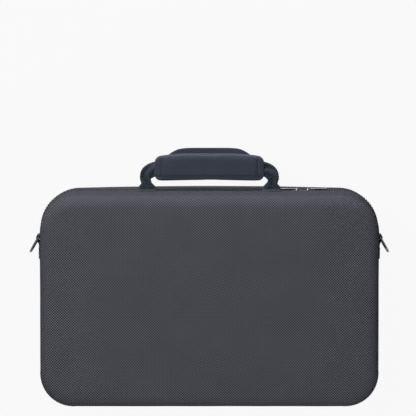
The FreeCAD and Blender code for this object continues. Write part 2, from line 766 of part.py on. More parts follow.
def make_plug(name, sign):
    body = new_body(name)
    block = new_sketch(body, lift="buckle_low")
    add_rounded_rectangle(block, "buckle_width", "plug_length", "plug_corner")
    extrude(body, "Pad", block, "buckle_thickness")
    prongs = new_sketch(body, lift="prong_low")
    fingers = (
        ("-prong_outer", "-prong_inner"),
        ("-tongue_half", "tongue_half"),
        ("prong_inner", "prong_outer"),
    )
    for low, high in fingers:
        add_polygon(prongs, (
            (low, "-prong_tip"), (high, "-prong_tip"), (high, "-plug_root"), (low, "-plug_root"),
        ))
    extrude(body, "Pad", prongs, "prong_height")
    eye = new_sketch(body, "XZ_Plane", lift="-plug_half")
    add_polygon(eye, (
        ("-eye_half", "eye_low"), ("eye_half", "eye_low"),
        ("eye_half", "eye_high"), ("-eye_half", "eye_high"),
    ))
    extrude(body, "Pocket", eye, "eye_cut", reverse=True)
    place(body, x="strap_offset" if sign > 0 else "-strap_offset", y="-plug_centre")
    return body


long_line, short_line = strap_points()
for side, sign in SIDES.items():
    make_ribbon(f"strap_long_{side}", long_line, sign)
    make_ribbon(f"strap_short_{side}", short_line, sign)
    make_socket(f"buckle_socket_{side}", sign)
    make_plug(f"buckle_plug_{side}", sign)


# Zipper sliders on the handle side: open channel over the coils, lugs with a pin, a pull on a knuckle
HANDLE_SIDE = FreeCAD.Placement(FreeCAD.Vector(), FreeCAD.Rotation(FreeCAD.Vector(0, 0, 1), -90))


def make_slider(name, way):
    body = new_body(name)
    channel = new_sketch(body, "XZ_Plane")
    add_polygon(channel, (
        ("flange_inner", "flange_low"), ("plate_outer", "flange_low"), ("plate_outer", "plate_top"),
        ("plate_inner", "plate_top"), ("plate_inner", "flange_top"), ("flange_inner", "flange_top"),
    ))
    extrude(body, "Pad", channel, "slider_length")
    for low in ("lug_low_start", "lug_high_start"):
        lug = new_sketch(body, lift=low)
        add_polygon(lug, (
            ("plate_outer", "-lug_near"), ("lug_tip", "-lug_near"),
            ("lug_tip", "-lug_far"), ("plate_outer", "-lug_far"),
        ))
        extrude(body, "Pad", lug, "lug_height")
    pin = new_sketch(body, lift="lug_low_end")
    add_circle(pin, "pin_radius", "pin_x", "-slider_half")
    extrude(body, "Pad", pin, "pin_length")
    body.Placement = HANDLE_SIDE
    place(body, x="slider_start" if way < 0 else "slider_end")
    return body


def make_pull(name, way):
    mark = "-" if way < 0 else ""
    body = new_body(name)
    knuckle = new_sketch(body, lift="knuckle_low")
    add_circle(knuckle, "knuckle_radius")
    extrude(body, "Pad", knuckle, "knuckle_height")
    tongue = new_sketch(body, lift="pull_low")
    add_polygon(tongue, (
        ("-pull_half", f"{mark}pull_clear"), ("pull_half", f"{mark}pull_clear"),
        ("pull_half", f"{mark}pull_length"), ("-pull_half", f"{mark}pull_length"),
    ))
    extrude(body, "Pad", tongue, "pull_height")
    neck = new_sketch(body, lift="knuckle_low")
    add_polygon(neck, (
        ("-pull_half", 0), ("pull_half", 0),
        ("pull_half", f"{mark}pull_neck"), ("-pull_half", f"{mark}pull_neck"),
    ))
    extrude(body, "Pad", neck, "knuckle_height")
    bore = new_sketch(body, lift="knuckle_low")
    add_circle(bore, "knuckle_bore")
    extrude(body, "Pocket", bore, "knuckle_height", reverse=True)
    body.Placement = HANDLE_SIDE
    place(body, x="pull_start" if way < 0 else "pull_end", y="-pin_x")
    return body


for end, way in SIDES.items():
    make_slider(f"zipper_slider_{end}", way)
    make_pull(f"zipper_pull_{end}", way)


# Lid organizer: backing panel, stitched slot strip, two bellows pockets and their trims
panel = new_body("organizer_panel")
outline = new_sketch(panel, lift="panel_low")
add_rounded_rectangle(outline, "panel_width", "panel_length", "panel_corner")
extrude(panel, "Pad", outline, "panel_thickness")


def make_slab(name, left, right, front, back, top, thickness):
    """Flat rectangle hung below a height."""
    body = new_body(name)
    outline = new_sketch(body, lift=top)
    add_polygon(outline, ((left, front), (right, front), (right, back), (left, back)))
    extrude(body, "Pad", outline, thickness, reverse=True)
    return body


strip = make_slab("slot_strip", "-slot_half", "slot_half", "-organizer_front", "-slot_back", "panel_low",
                  "slot_thickness")
groove = new_sketch(strip, lift="slot_low")
add_polygon(groove, (
    ("-slot_first", "-organizer_front"), ("-groove_far", "-organizer_front"),
    ("-groove_far", "-slot_back"), ("-slot_first", "-slot_back"),
))
cut = extrude(strip, "Pocket", groove, "slot_groove_depth", reverse=True)
row = strip.newObject("PartDesign::LinearPattern", "slot_strip_row")
row.Originals = [cut]
row.Direction = (groove, ["H_Axis"])
bind(row, Length="slot_row")
row.Occurrences = 8
strip.Tip = row
doc.recompute()
make_slab(
    "slot_binding", "-slot_half", "slot_half", "-slot_back", "-pocket_front", "panel_low", "seam_trim"
)

for side, sign in SIDES.items():
    body = new_body(f"pocket_{side}")
    outline = new_sketch(body, lift="pocket_low")
    add_polygon(outline, (
        ("-pocket_half", "-pocket_front"), ("pocket_half", "-pocket_front"),
        ("pocket_half", "organizer_front"), ("-pocket_half", "organizer_front"),
    ))
    extrude(body, "Pad", outline, "pocket_bulge")
    mouth_y = -size("pocket_front")
    low_edge = at_height("pocket_low")
    fillet(body, "pocket_fillet", lambda edge: low_edge(edge) and edge.BoundBox.YMax > mouth_y + 1)
    hollow = new_sketch(body, lift="panel_low")
    add_polygon(hollow, (
        ("-pocket_clear_half", "-organizer_front"), ("pocket_clear_half", "-organizer_front"),
        ("pocket_clear_half", "pocket_back"), ("-pocket_clear_half", "pocket_back"),
    ))
    extrude(body, "Pocket", hollow, "pocket_depth")
    place(body, x="pocket_mid" if sign > 0 else "-pocket_mid")
    trim = make_slab(
        f"pocket_binding_{side}", "-trim_half", "trim_half", "-pocket_front", "-pocket_trim_back",
        "pocket_low", "trim_thickness"
    )
    place(trim, x="pocket_mid" if sign > 0 else "-pocket_mid")

doc.recompute()
NODES = [item for item in doc.Objects if item.TypeId in ("PartDesign::Body", "Part::Feature", "Part::Box")]
for item in doc.Objects:
    if "Invalid" in item.State or "Error" in item.State:
        raise RuntimeError(f"{item.Name}: {item.State}")
os.makedirs("parts", exist_ok=True)
for node in NODES:
    shape = node.Shape
    if shape.isNull() or not shape.isValid() or len(shape.Solids) != 1:
        raise RuntimeError(f"{node.Name} is not one closed solid")
    shape.exportStep(f"parts/{node.Name}.step")
print(len(NODES), "pieces written")
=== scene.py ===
"""Console carrying case: the looks of its cloth, webbing, zipper, rings, straps and lid organizer."""

import json
import logging
import math
from collections.abc import Callable, Iterator, Sequence
from contextlib import contextmanager
from dataclasses import dataclass, field
from enum import Enum

import bmesh
import bpy
from bpy.types import Material, Node, NodeTree, Object
from mathutils import Matrix, Vector, noise


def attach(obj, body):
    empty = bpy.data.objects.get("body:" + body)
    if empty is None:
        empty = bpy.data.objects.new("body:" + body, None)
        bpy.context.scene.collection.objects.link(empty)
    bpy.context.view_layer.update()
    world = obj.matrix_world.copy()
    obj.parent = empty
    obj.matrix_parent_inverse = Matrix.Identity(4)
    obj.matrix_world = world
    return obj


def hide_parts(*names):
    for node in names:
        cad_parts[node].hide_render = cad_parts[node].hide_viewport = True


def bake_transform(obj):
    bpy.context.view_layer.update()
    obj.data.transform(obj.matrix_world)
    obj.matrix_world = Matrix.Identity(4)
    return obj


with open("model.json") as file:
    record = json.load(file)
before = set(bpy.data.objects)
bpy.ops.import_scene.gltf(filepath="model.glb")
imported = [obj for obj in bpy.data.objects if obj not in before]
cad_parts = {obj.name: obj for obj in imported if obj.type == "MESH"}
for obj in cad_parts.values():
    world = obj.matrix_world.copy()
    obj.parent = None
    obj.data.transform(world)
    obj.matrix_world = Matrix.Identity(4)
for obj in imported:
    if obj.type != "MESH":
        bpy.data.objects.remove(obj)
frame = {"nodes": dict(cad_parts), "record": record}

LOG = logging.getLogger("console_case")
MM = 0.001


class Weave(Enum):
    """How a cloth's threads cross."""

    BASKET = "basket"
    RIB = "rib"
    TWILL = "twill"
    KNIT = "knit"


class Half(Enum):
    """The two halves of the case, named as their bodies."""

    BASE = "base"
    LID = "lid"


@dataclass(frozen=True)
class CaseSizes:
    """Main sizes of the case in millimetres, as the solids have them."""

    width: float = 450.0
    length: float = 283.0
    height: float = 150.0
    seam: float = 75.0
    zip_gap: float = 9.0
    corner: float = 50.0
    draft: float = math.radians(0.7)
    hinge_end: float = 172.0

    def rim(self, half: Half) -> float:
        """Height of a shell's rim."""
        return self.seam + (self.zip_gap / 2 if half is Half.LID else -self.zip_gap / 2)

    def face(self, half: Half) -> float:
        """Height of a shell's outer face."""
        return self.height if half is Half.LID else 0.0

    def inset_at(self, height: float) -> float:
        """How far the drafted wall stands in from the rim's outline at a height."""
        reach = abs(height - self.seam) - self.zip_gap / 2
        return max(reach, 0.0) * math.tan(self.draft)


CASE = CaseSizes()


# Mesh work: selection and operators, as by hand
def deselect_all() -> None:
    """Leave edit mode and deselect every object."""
    if bpy.context.object and bpy.context.object.mode != "OBJECT":
        bpy.ops.object.mode_set(mode="OBJECT")
    bpy.ops.object.select_all(action="DESELECT")


def activate(piece: Object) -> None:
    """Make a piece the only selected and active object."""
    deselect_all()
    piece.select_set(True)
    bpy.context.view_layer.objects.active = piece


def adopt(name: str) -> Object:
    """Name the primitive that was just added and settle its place in its mesh.

    Args:
        name: Name for the object and its mesh.

    Returns:
        The new object.
    """
    piece = bpy.context.active_object
    piece.name = piece.data.name = name
    bpy.ops.object.transform_apply(location=True, rotation=True, scale=True)
    return piece


def add_block(name: str, low: Sequence[float], high: Sequence[float]) -> Object:
    """Add a box between two corners.

    Args:
        name: Name of the piece.
        low: Lowest corner in millimetres.
        high: Highest corner in millimetres.

    Returns:
        The new object.
    """
    deselect_all()
    middle = [(a + b) / 2 * MM for a, b in zip(low, high)]
    bpy.ops.mesh.primitive_cube_add(size=1.0, location=middle)
    bpy.context.active_object.scale = [(b - a) * MM for a, b in zip(low, high)]
    return adopt(name)


def add_grid(name: str, columns: int, rows: int) -> Object:
    """Add a flat grid of unit size, to be laid along a path or over a panel."""
    deselect_all()
    bpy.ops.mesh.primitive_grid_add(x_subdivisions=columns, y_subdivisions=rows, size=1.0)
    return adopt(name)


@contextmanager
def editing(piece: Object, mode: str = "EDGE") -> Iterator[None]:
    """Edit mode on one piece, with nothing selected at the start."""
    activate(piece)
    bpy.ops.object.mode_set(mode="EDIT")
    bpy.ops.mesh.select_mode(type=mode)
    bpy.ops.mesh.select_all(action="DESELECT")
    yield
    bpy.ops.object.mode_set(mode="OBJECT")


def pick(piece: Object, kind: str, wanted: Callable[..., bool]) -> int:
    """Select the parts of the edited mesh that a test accepts.

    Args:
        piece: The piece in edit mode.
        kind: One of verts, edges and faces.
        wanted: Test on a part.

    Returns:
        How many parts were selected.
    """
    bpy.ops.mesh.select_all(action="DESELECT")
    mesh = bmesh.from_edit_mesh(piece.data)
    count = 0
    for part in getattr(mesh, kind):
        if wanted(part):
            part.select_set(True)
            count += 1
    bmesh.update_edit_mesh(piece.data)
    return count


def level(height: float) -> Callable[..., bool]:
    """Test for vertices and edges that lie at one height in millimetres."""
    def wanted(part: object) -> bool:
        """Whether all of the part lies at the height."""
        corners = getattr(part, "verts", (part,))
        return all(abs(v.co.z - height * MM) < 1e-5 for v in corners)
    return wanted


def upright(edge: object) -> bool:
    """Whether an edge is vertical."""
    a, b = (v.co for v in edge.verts)
    return (a - b).xy.length < 1e-6


def apply_modifiers(piece: Object) -> None:
    """Apply every modifier of a piece in order."""
    activate(piece)
    for modifier in list(piece.modifiers):
        bpy.ops.object.modifier_apply(modifier=modifier.name)


def finish_mesh(piece: Object, thick: float = 0.0, smooth: int = 0, bevel: float = 0.0,
                offset: float = 0.0) -> Object:
    """Give a piece its thickness, soft edges and smoothness, and apply them.

    Args:
        piece: The piece.
        thick: Wall thickness in millimetres, 0 for none.
        smooth: Subdivision levels.
        bevel: Edge rounding in millimetres, 0 for none.
        offset: Which way the wall grows, -1 inwards to 1 outwards.

    Returns:
        The same piece.
    """
    if thick:
        wall = piece.modifiers.new("wall", "SOLIDIFY")
        wall.thickness, wall.offset = thick * MM, offset
        wall.use_even_offset = True
    if bevel:
        edge = piece.modifiers.new("edge", "BEVEL")
        edge.width, edge.segments, edge.limit_method = bevel * MM, 2, "ANGLE"
        edge.angle_limit = math.radians(40)
    if smooth:
        skin = piece.modifiers.new("skin", "SUBSURF")
        skin.levels = skin.render_levels = smooth
    apply_modifiers(piece)
    bpy.ops.object.shade_smooth_by_angle(angle=math.radians(50))
    return piece


def bisect(piece: Object, axis: int, places: Sequence[float]) -> None:
    """Cut a mesh across at several places, to give it faces to shape."""
    normal = [0.0, 0.0, 0.0]
    normal[axis] = 1.0
    with editing(piece, "FACE"):
        for place in places:
            point = [0.0, 0.0, 0.0]
            point[axis] = place * MM
            bpy.ops.mesh.select_all(action="SELECT")
            bpy.ops.mesh.bisect(plane_co=point, plane_no=normal)


def spread(first: float, last: float, step: float) -> list[float]:
    """Even places between two ends, about a step apart."""
    count = max(1, round((last - first) / step))
    return [first + (last - first) * i / count for i in range(1, count)]


def shape(piece: Object, move: Callable[[Vector], Vector]) -> None:
    """Move each vertex of a mesh, as with a sculpting brush; places are in millimetres."""
    for vertex in piece.data.vertices:
        vertex.co = move(vertex.co / MM) * MM
    piece.data.update()


def join(name: str, pieces: Sequence[Object]) -> Object:
    """Join pieces of one real part into one object."""
    activate(pieces[0])
    for piece in pieces:
        piece.select_set(True)
    if len(pieces) > 1:
        bpy.ops.object.join()
    pieces[0].name = pieces[0].data.name = name
    return pieces[0]


def cloth_map(piece: Object, where: Callable[[Vector, Vector], tuple[float, float]] | None = None) -> None:
    """Lay a cloth map in metres over a piece, so that threads keep their real size.

    Args:
        piece: The piece.
        where: Map place of a point and its face's normal; the nearest axis plane when left out.
    """
    mesh = piece.data
    layer = mesh.uv_layers.get("cloth") or mesh.uv_layers.new(name="cloth")
    mesh.uv_layers.active = layer
    for face in mesh.polygons:
        axis = max(range(3), key=lambda i: abs(face.normal[i]))
        for loop in face.loop_indices:
            point = mesh.vertices[mesh.loops[loop].vertex_index].co
            if where:
                layer.data[loop].uv = where(point, face.normal)
            else:
                layer.data[loop].uv = [point[i] for i in range(3) if i != axis]


def smooth_line(points: Sequence[Sequence[float]], count: int) -> list[Vector]:
    """Even points on a smooth line through some places.

    Args:
        points: Places in millimetres.
        count: How many points to return.

    Returns:
        The points, in millimetres.
    """
    places = [Vector(p) for p in points]
    ends = [2 * places[0] - places[1], *places, 2 * places[-1] - places[-2]]
    fine: list[Vector] = []
    for i in range(1, len(ends) - 2):
        a, b, c, d = ends[i - 1:i + 3]
        for k in range(24):
            t = k / 24
            fine.append(0.5 * (2 * b + (c - a) * t + (2 * a - 5 * b + 4 * c - d) * t * t
                               + (3 * b - a - 3 * c + d) * t ** 3))
    fine.append(places[-1])
    lengths = [0.0]
    for a, b in zip(fine, fine[1:]):
        lengths.append(lengths[-1] + (b - a).length)
    line, at = [], 0
    for k in range(count):
        wanted = lengths[-1] * k / (count - 1)
        while at < len(fine) - 2 and lengths[at + 1] < wanted:
            at += 1
        part = (wanted - lengths[at]) / max(lengths[at + 1] - lengths[at], 1e-9)
        line.append(fine[at].lerp(fine[at + 1], part))
    return line


@dataclass
class Ribbon:
    """Flat webbing or tape laid along a line."""

    name: str
    line: Sequence[Sequence[float]]
    across: Vector
    width: float
    thick: float
    steps: int = 60
    strands: int = 8
    narrow: Callable[[float], float] = lambda part: 1.0
    lift: Callable[[float, float], float] = lambda part, side: 0.0
    turning: bool = False
    smooth: int = 1

    def build(self) -> Object:
        """Model the ribbon from a grid.

        Returns:
            The ribbon, with its cloth map along its length.
        """
        piece = add_grid(self.name, self.strands, self.steps)
        line = smooth_line(self.line, self.steps + 1)
        length = sum((b - a).length for a, b in zip(line, line[1:]))
        places: list[tuple[float, float]] = []
        for vertex in piece.data.vertices:
            side, part = vertex.co.x, vertex.co.y + 0.5
            at = min(round(part * self.steps), self.steps)
            along = (line[min(at + 1, self.steps)] - line[max(at - 1, 0)]).normalized()
            up = self.across.normalized()
            sideways = along.cross(up).normalized() if self.turning else up
            normal = up if self.turning else along.cross(up).normalized()
            offset = sideways * side * self.width * self.narrow(part) + normal * self.lift(part, side)
            vertex.co = (line[at] + offset) * MM
            places.append((side * self.width * MM, part * length * MM))
        layer = piece.data.uv_layers.get("cloth") or piece.data.uv_layers.new(name="cloth")
        for loop in piece.data.loops:
            layer.data[loop.index].uv = places[loop.vertex_index]
        for spare in [item for item in piece.data.uv_layers if item.name != "cloth"]:
            piece.data.uv_layers.remove(spare)
        return finish_mesh(piece, thick=self.thick, smooth=self.smooth)


@dataclass
class Stitching:
    """Rows of thread: one stitch is modelled and copied along each row."""

    name: str
    length: float = 2.6
    pitch: float = 3.8
    thread: float = 0.55
    rows: list[Object] = field(default_factory=list)

    def row(self, start: Sequence[float], end: Sequence[float], normal: Sequence[float]) -> None:
        """Sew one straight row.

        Args:
            start: First place in millimetres.
            end: Last place in millimetres.
            normal: Direction out of the cloth.
        """
        a, b, out = Vector(start), Vector(end), Vector(normal).normalized()
        along = (b - a).normalized()
        side = out.cross(along).normalized()
        count = max(1, int((b - a).length / self.pitch))
        half, t = self.length / 2, self.thread
        stitch = add_block(f"{self.name}_stitch", (-half, -t * 0.6, -t * 0.4), (half, t * 0.6, t * 0.7))
        with editing(stitch):
            bpy.ops.mesh.select_all(action="SELECT")
            bpy.ops.mesh.bevel(offset=t * 0.35 * MM, segments=1, affect="EDGES")
        turn = Matrix((along, side, out)).transposed().to_4x4()
        stitch.data.transform(Matrix.Translation(a * MM) @ turn)
        copies = stitch.modifiers.new("row", "ARRAY")
        copies.use_relative_offset, copies.use_constant_offset = False, True
        copies.constant_offset_displace = along * self.pitch * MM
        copies.count = count
        apply_modifiers(stitch)
        self.rows.append(stitch)

    def box(self, corners: Sequence[Sequence[float]], normal: Sequence[float], cross: bool = True) -> None:
        """Sew a closed box of rows, with a cross in it where wanted."""
        for a, b in zip(corners, [*corners[1:], corners[0]]):
            self.row(a, b, normal)
        if cross:
            self.row(corners[0], corners[2], normal)
            self.row(corners[1], corners[3], normal)

    def done(self, body: str, finish: Material) -> Object:
        """Join the rows and let them move with a body."""
        piece = join(self.name, self.rows)
        return dress(piece, body, [finish])


# Finishes
def linear(colour: str) -> tuple[float, float, float, float]:
    """Linear colour of an sRGB hex value."""
    parts = (int(colour[i:i + 2], 16) / 255 for i in (1, 3, 5))
    return (*(p / 12.92 if p <= 0.04045 else ((p + 0.055) / 1.055) ** 2.4 for p in parts), 1.0)


def add_node(tree: NodeTree, kind: str, settings: dict | None = None, **links: object) -> Node:
    """Add a shader node with its settings and links.

    Args:
        tree: The material's node tree.
        kind: Node type.
        settings: Properties of the node, and values of sockets by name or number.
        **links: Sockets that feed this node, by input name with underscores for spaces,
            or i0, i1 by number.

    Returns:
        The node.
    """
    node = tree.nodes.new(kind)
    for key, value in (settings or {}).items():
        if isinstance(key, str) and hasattr(node, key):
            setattr(node, key, value)
        else:
            node.inputs[key].default_value = value
    for key, socket in links.items():
        place = int(key[1:]) if key[0] == "i" and key[1:].isdigit() else key.replace("_", " ")
        tree.links.new(socket, node.inputs[place])
    return node


@dataclass(frozen=True)
class Cloth:
    """Woven or knitted cloth: threads from the cloth map, tone from a slow noise."""

    name: str
    thread: str
    shade: str
    weave: Weave
    spacing: float
    rough: float = 0.85
    relief: float = 0.35
    sheen: float = 0.15
    mottle: float = 0.12
    gloss: float = 0.12

    def threads(self, tree: NodeTree) -> Node:
        """Height of the weave, from 0 in the gaps to 1 on the threads.

        Args:
            tree: The material's node tree.

        Returns:
            A node whose first output is the height.
        """
        place = add_node(tree, "ShaderNodeUVMap", {"uv_map": "cloth"})
        parts = add_node(tree, "ShaderNodeSeparateXYZ", None, Vector=place.outputs[0])
        turns = 2 * math.pi / (self.spacing * MM)
        across, along = parts.outputs[0], parts.outputs[1]
        if self.weave is Weave.TWILL:
            along = add_node(tree, "ShaderNodeMath", {"operation": "ADD"}, i0=across, i1=along).outputs[0]
        waves = []
        for part in (across, along):
            scaled = add_node(tree, "ShaderNodeMath", {"operation": "MULTIPLY", 1: turns}, i0=part)
            wave = add_node(tree, "ShaderNodeMath", {"operation": "SINE"}, i0=scaled.outputs[0])
            waves.append(wave.outputs[0])
        if self.weave in (Weave.RIB, Weave.TWILL):
            crossed = waves[1]
        else:
            product = add_node(tree, "ShaderNodeMath", {"operation": "MULTIPLY"}, i0=waves[0], i1=waves[1])
            crossed = product.outputs[0]
        return add_node(tree, "ShaderNodeMapRange", {"From Min": -1.0}, Value=crossed)

    def material(self) -> Material:
        """Material of the cloth.

        Returns:
            The material, made once.
        """
        known = bpy.data.materials.get(self.name)
        if known:
            return known
        made = bpy.data.materials.new(self.name)
        made.use_nodes = True
        made.diffuse_color = linear(self.thread)
        tree = made.node_tree
        tree.nodes.clear()
        height = self.threads(tree)
        spot = add_node(tree, "ShaderNodeTexCoord")
        slow = add_node(tree, "ShaderNodeTexNoise", {"Scale": 22.0, "Detail": 5.0, "Roughness": 0.65},
                        Vector=spot.outputs["Object"])
        fuzz = add_node(tree, "ShaderNodeTexNoise", {"Scale": 900.0, "Detail": 2.0},
                        Vector=spot.outputs["Object"])
        both = add_node(tree, "ShaderNodeMix",
                        {"data_type": "RGBA", 6: linear(self.shade), 7: linear(self.thread)},
                        i0=height.outputs[0])
        tone = add_node(tree, "ShaderNodeMapRange",
                        {"From Min": 0.3, "From Max": 0.7,
                         "To Min": 1 - self.mottle, "To Max": 1 + self.mottle},
                        Value=slow.outputs[0])
        colour = add_node(tree, "ShaderNodeMix", {"data_type": "RGBA", "blend_type": "MULTIPLY", 0: 1.0},
                          i6=both.outputs[2], i7=tone.outputs[0])
        grain = add_node(tree, "ShaderNodeMath", {"operation": "MULTIPLY_ADD", 1: 0.25},
                         i0=fuzz.outputs[0], i2=height.outputs[0])
        bump = add_node(tree, "ShaderNodeBump",
                        {"Strength": self.relief, "Distance": self.spacing * MM * 0.35},
                        Height=grain.outputs[0])
        surface = add_node(tree, "ShaderNodeBsdfPrincipled",
                           {"Roughness": self.rough, "Specular IOR Level": self.gloss,
                            "Sheen Weight": self.sheen, "Sheen Roughness": 0.5},
                           Base_Color=colour.outputs[2], Normal=bump.outputs[0])
        add_node(tree, "ShaderNodeOutputMaterial", None, Surface=surface.outputs[0])
        return made


@dataclass(frozen=True)
class Hard:
    """Moulded plastic, or painted metal under a coat."""

    name: str
    colour: str
    rough: float
    grit: float
    relief: float = 0.05
    coat: float = 0.0
    metallic: float = 0.0

    def material(self) -> Material:
        """Material of the hard piece.

        Returns:
            The material, made once.
        """
        known = bpy.data.materials.get(self.name)
        if known:
            return known
        made = bpy.data.materials.new(self.name)
        made.use_nodes = True
        made.diffuse_color = linear(self.colour)
        tree = made.node_tree
        tree.nodes.clear()
        spot = add_node(tree, "ShaderNodeTexCoord")
        grain = add_node(tree, "ShaderNodeTexNoise", {"Scale": 1 / (self.grit * MM), "Detail": 3.0},
                         Vector=spot.outputs["Object"])
        wear = add_node(tree, "ShaderNodeTexNoise", {"Scale": 120.0, "Detail": 4.0},
                        Vector=spot.outputs["Object"])
        rough = add_node(tree, "ShaderNodeMapRange",
                         {"To Min": self.rough * 0.8, "To Max": min(1.0, self.rough * 1.3)},
                         Value=wear.outputs[0])
        base = linear(self.colour)
        light = tuple(min(1.0, c * 1.5 + 0.004) for c in base[:3]) + (1.0,)
        colour = add_node(tree, "ShaderNodeMix", {"data_type": "RGBA", 6: base, 7: light},
                          i0=wear.outputs[0])
        bump = add_node(tree, "ShaderNodeBump", {"Strength": self.relief, "Distance": self.grit * MM},
                        Height=grain.outputs[0])
        surface = add_node(tree, "ShaderNodeBsdfPrincipled",
                           {"Metallic": self.metallic, "Coat Weight": self.coat, "Coat Roughness": 0.12},
                           Base_Color=colour.outputs[2], Roughness=rough.outputs[0], Normal=bump.outputs[0])
        add_node(tree, "ShaderNodeOutputMaterial", None, Surface=surface.outputs[0])
        return made


# Ballistic nylon over foam: flat matte threads in a basket weave. The real threads are about
# 1.2 mm apart; they are drawn coarser, so that the weave shows in the render.
NYLON = Cloth("ballistic_nylon", "#6B6C74", "#08090B", Weave.BASKET, 3.5, 0.8, 0.3, 0.0, 0.05, 0.0)
# Knitted lining, brushed on the inside: soft, even and darker than the outside
LINING = Cloth("brushed_knit_lining", "#3F4347", "#303438", Weave.KNIT, 2.4, 0.95, 0.25, 0.15)
# Polyester cloth of the lid's organizer: the same knit undyed on one side, so paler than the lining
POLYESTER = Cloth("grey_polyester_knit", "#6E6E6E", "#585859", Weave.KNIT, 2.4, 0.95, 0.25, 0.15)
# Grosgrain ribbon: fine ribs across the ribbon, mid grey
GROSGRAIN = Cloth("grosgrain_ribbon", "#808284", "#606264", Weave.RIB, 2.2, 0.75, 0.6, 0.1, 0.06)
# Polyester webbing: ribs across a flat tape, near black
WEBBING = Cloth("black_polyester_webbing", "#3A434F", "#111419", Weave.RIB, 2.0, 0.6, 0.6, 0.15)
# The same webbing in mid grey, for the hold-down straps
STRAP = Cloth("grey_polyester_webbing", "#7E8185", "#5F6266", Weave.RIB, 2.0, 0.75, 0.5, 0.15, 0.08)
# Zipper tape: thin black twill
TAPE = Cloth("zipper_twill", "#1E1F22", "#121315", Weave.TWILL, 1.6, 0.8, 0.4)
# Grip sleeve: slate blue oxford cloth over padding
SLEEVE = Cloth("oxford_grip_cloth", "#3E4452", "#2A2F3A", Weave.BASKET, 2.2, 0.8, 0.35, 0.2, 0.1)
# Sewing thread, spun polyester
THREAD = Cloth("polyester_thread", "#3B3E45", "#26282D", Weave.TWILL, 0.8, 0.7, 0.3)
PALE_THREAD = Cloth("pale_polyester_thread", "#74777C", "#5A5D62", Weave.TWILL, 0.8, 0.7, 0.3)
# Nylon coil of the zipper: smooth extruded monofilament
COIL = Hard("nylon_zipper_coil", "#17181A", 0.42, 0.6, 0.04)
# Die-cast zinc, black electrophoretic paint: glossy with soft edges
METAL = Hard("black_painted_zinc", "#0F1012", 0.22, 0.4, 0.03, coat=0.5)
# Acetal buckles, moulded with a fine spark-eroded grain
BUCKLE = Hard("moulded_acetal", "#131416", 0.45, 0.5, 0.12)


def dress(piece: Object, body: str, finishes: Sequence[Material],
          nodes: Sequence[str] = ()) -> Object:
    """Give a piece its finishes, its body and the solids that it stands for.

    Args:
        piece: The piece.
        body: Body that it moves with, or an empty text where it is blended.
        finishes: Materials of its slots.
        nodes: Solids that it replaces.

    Returns:
        The same piece.
    """
    piece.data.materials.clear()
    for finish in finishes:
        piece.data.materials.append(finish)
    if body:
        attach(piece, body)
    if nodes:
        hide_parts(*nodes)
    LOG.info("%s on %s", piece.name, body or "two bodies")
    return piece


# The case's outline, seen from above
def outline_out(point: Vector) -> Vector:
    """Way from the middle of the outline's rounding to a point, in millimetres."""
    across, along = CASE.width / 2 - CASE.corner, CASE.length / 2 - CASE.corner
    return Vector((math.copysign(max(abs(point.x) - across, 0.0), point.x),
                   math.copysign(max(abs(point.y) - along, 0.0), point.y), 0.0))


def outline_run(point: Vector, normal: Vector) -> float:
    """Distance round the outline to a point, in metres.

    Args:
        point: A place on a wall, in metres.
        normal: Normal of the face that the point is on, which settles where the run starts and ends.

    Returns:
        Distance from the front end of the right wall, by way of the hinge.
    """
    place = point / MM
    out = outline_out(place)
    across, along = CASE.width / 2 - CASE.corner, CASE.length / 2 - CASE.corner
    core = Vector((max(-across, min(across, place.x)), max(-along, min(along, place.y))))
    turn = math.atan2(out.y, out.x) % (2 * math.pi)
    if turn < 1e-4 and abs(core.y + along) < 0.01 and normal.y < -0.01:
        turn = 2 * math.pi
    quarter = turn / (math.pi / 2)
    if quarter < 1e-3:
        straight = core.y + along
    elif quarter < 2 - 1e-3:
        straight = 2 * along + across - core.x
    elif quarter < 3 - 1e-3:
        straight = 2 * (along + across) + along - core.y
    else:
        straight = 4 * along + 2 * across + across + core.x
    return (straight + CASE.corner * turn) * MM


def wall_point(x: float, half: Half, height: float, out: float, side: float = -1.0) -> Vector:
    """A place just off the handle wall (side -1) or the hinge wall (side 1)."""
    return Vector((x, side * (CASE.length / 2 - CASE.inset_at(height) + out), height))


def rounded_block(name: str, low: Sequence[float], high: Sequence[float], corner: float,
                  segments: int) -> Object:
    """Add a box with rounded upright edges."""
    piece = add_block(name, low, high)
    with editing(piece):
        pick(piece, "edges", upright)
        bpy.ops.mesh.bevel(offset=corner * MM, segments=segments, affect="EDGES")
    return piece


def refined(node: str, name: str, bevel: float, finish: Material) -> Object:
    """Copy a hard solid and round its edges, as casting or moulding leaves them.

    Args:
        node: The solid's node.
        name: Name of the piece.
        bevel: Edge rounding in millimetres, 0 where the solid is round already.
        finish: Its material.

    Returns:
        The piece, on the solid's own body.
    """
    activate(frame["nodes"][node])
    bpy.ops.object.duplicate()
    piece = bpy.context.active_object
    for key in list(piece.keys()):
        del piece[key]
    piece.parent = None
    piece.matrix_world = Matrix.Identity(4)
    piece.name = piece.data.name = name
    with editing(piece, "VERT"):
        bpy.ops.mesh.select_all(action="SELECT")
        bpy.ops.mesh.remove_doubles(threshold=0.01 * MM)
        bpy.ops.mesh.dissolve_limited(angle_limit=math.radians(1.0))
    finish_mesh(piece, bevel=bevel)
    body = next(b for b, nodes in frame["record"]["behaviour"]["bodies"].items() if node in nodes)
    return dress(piece, body, [finish], [node])


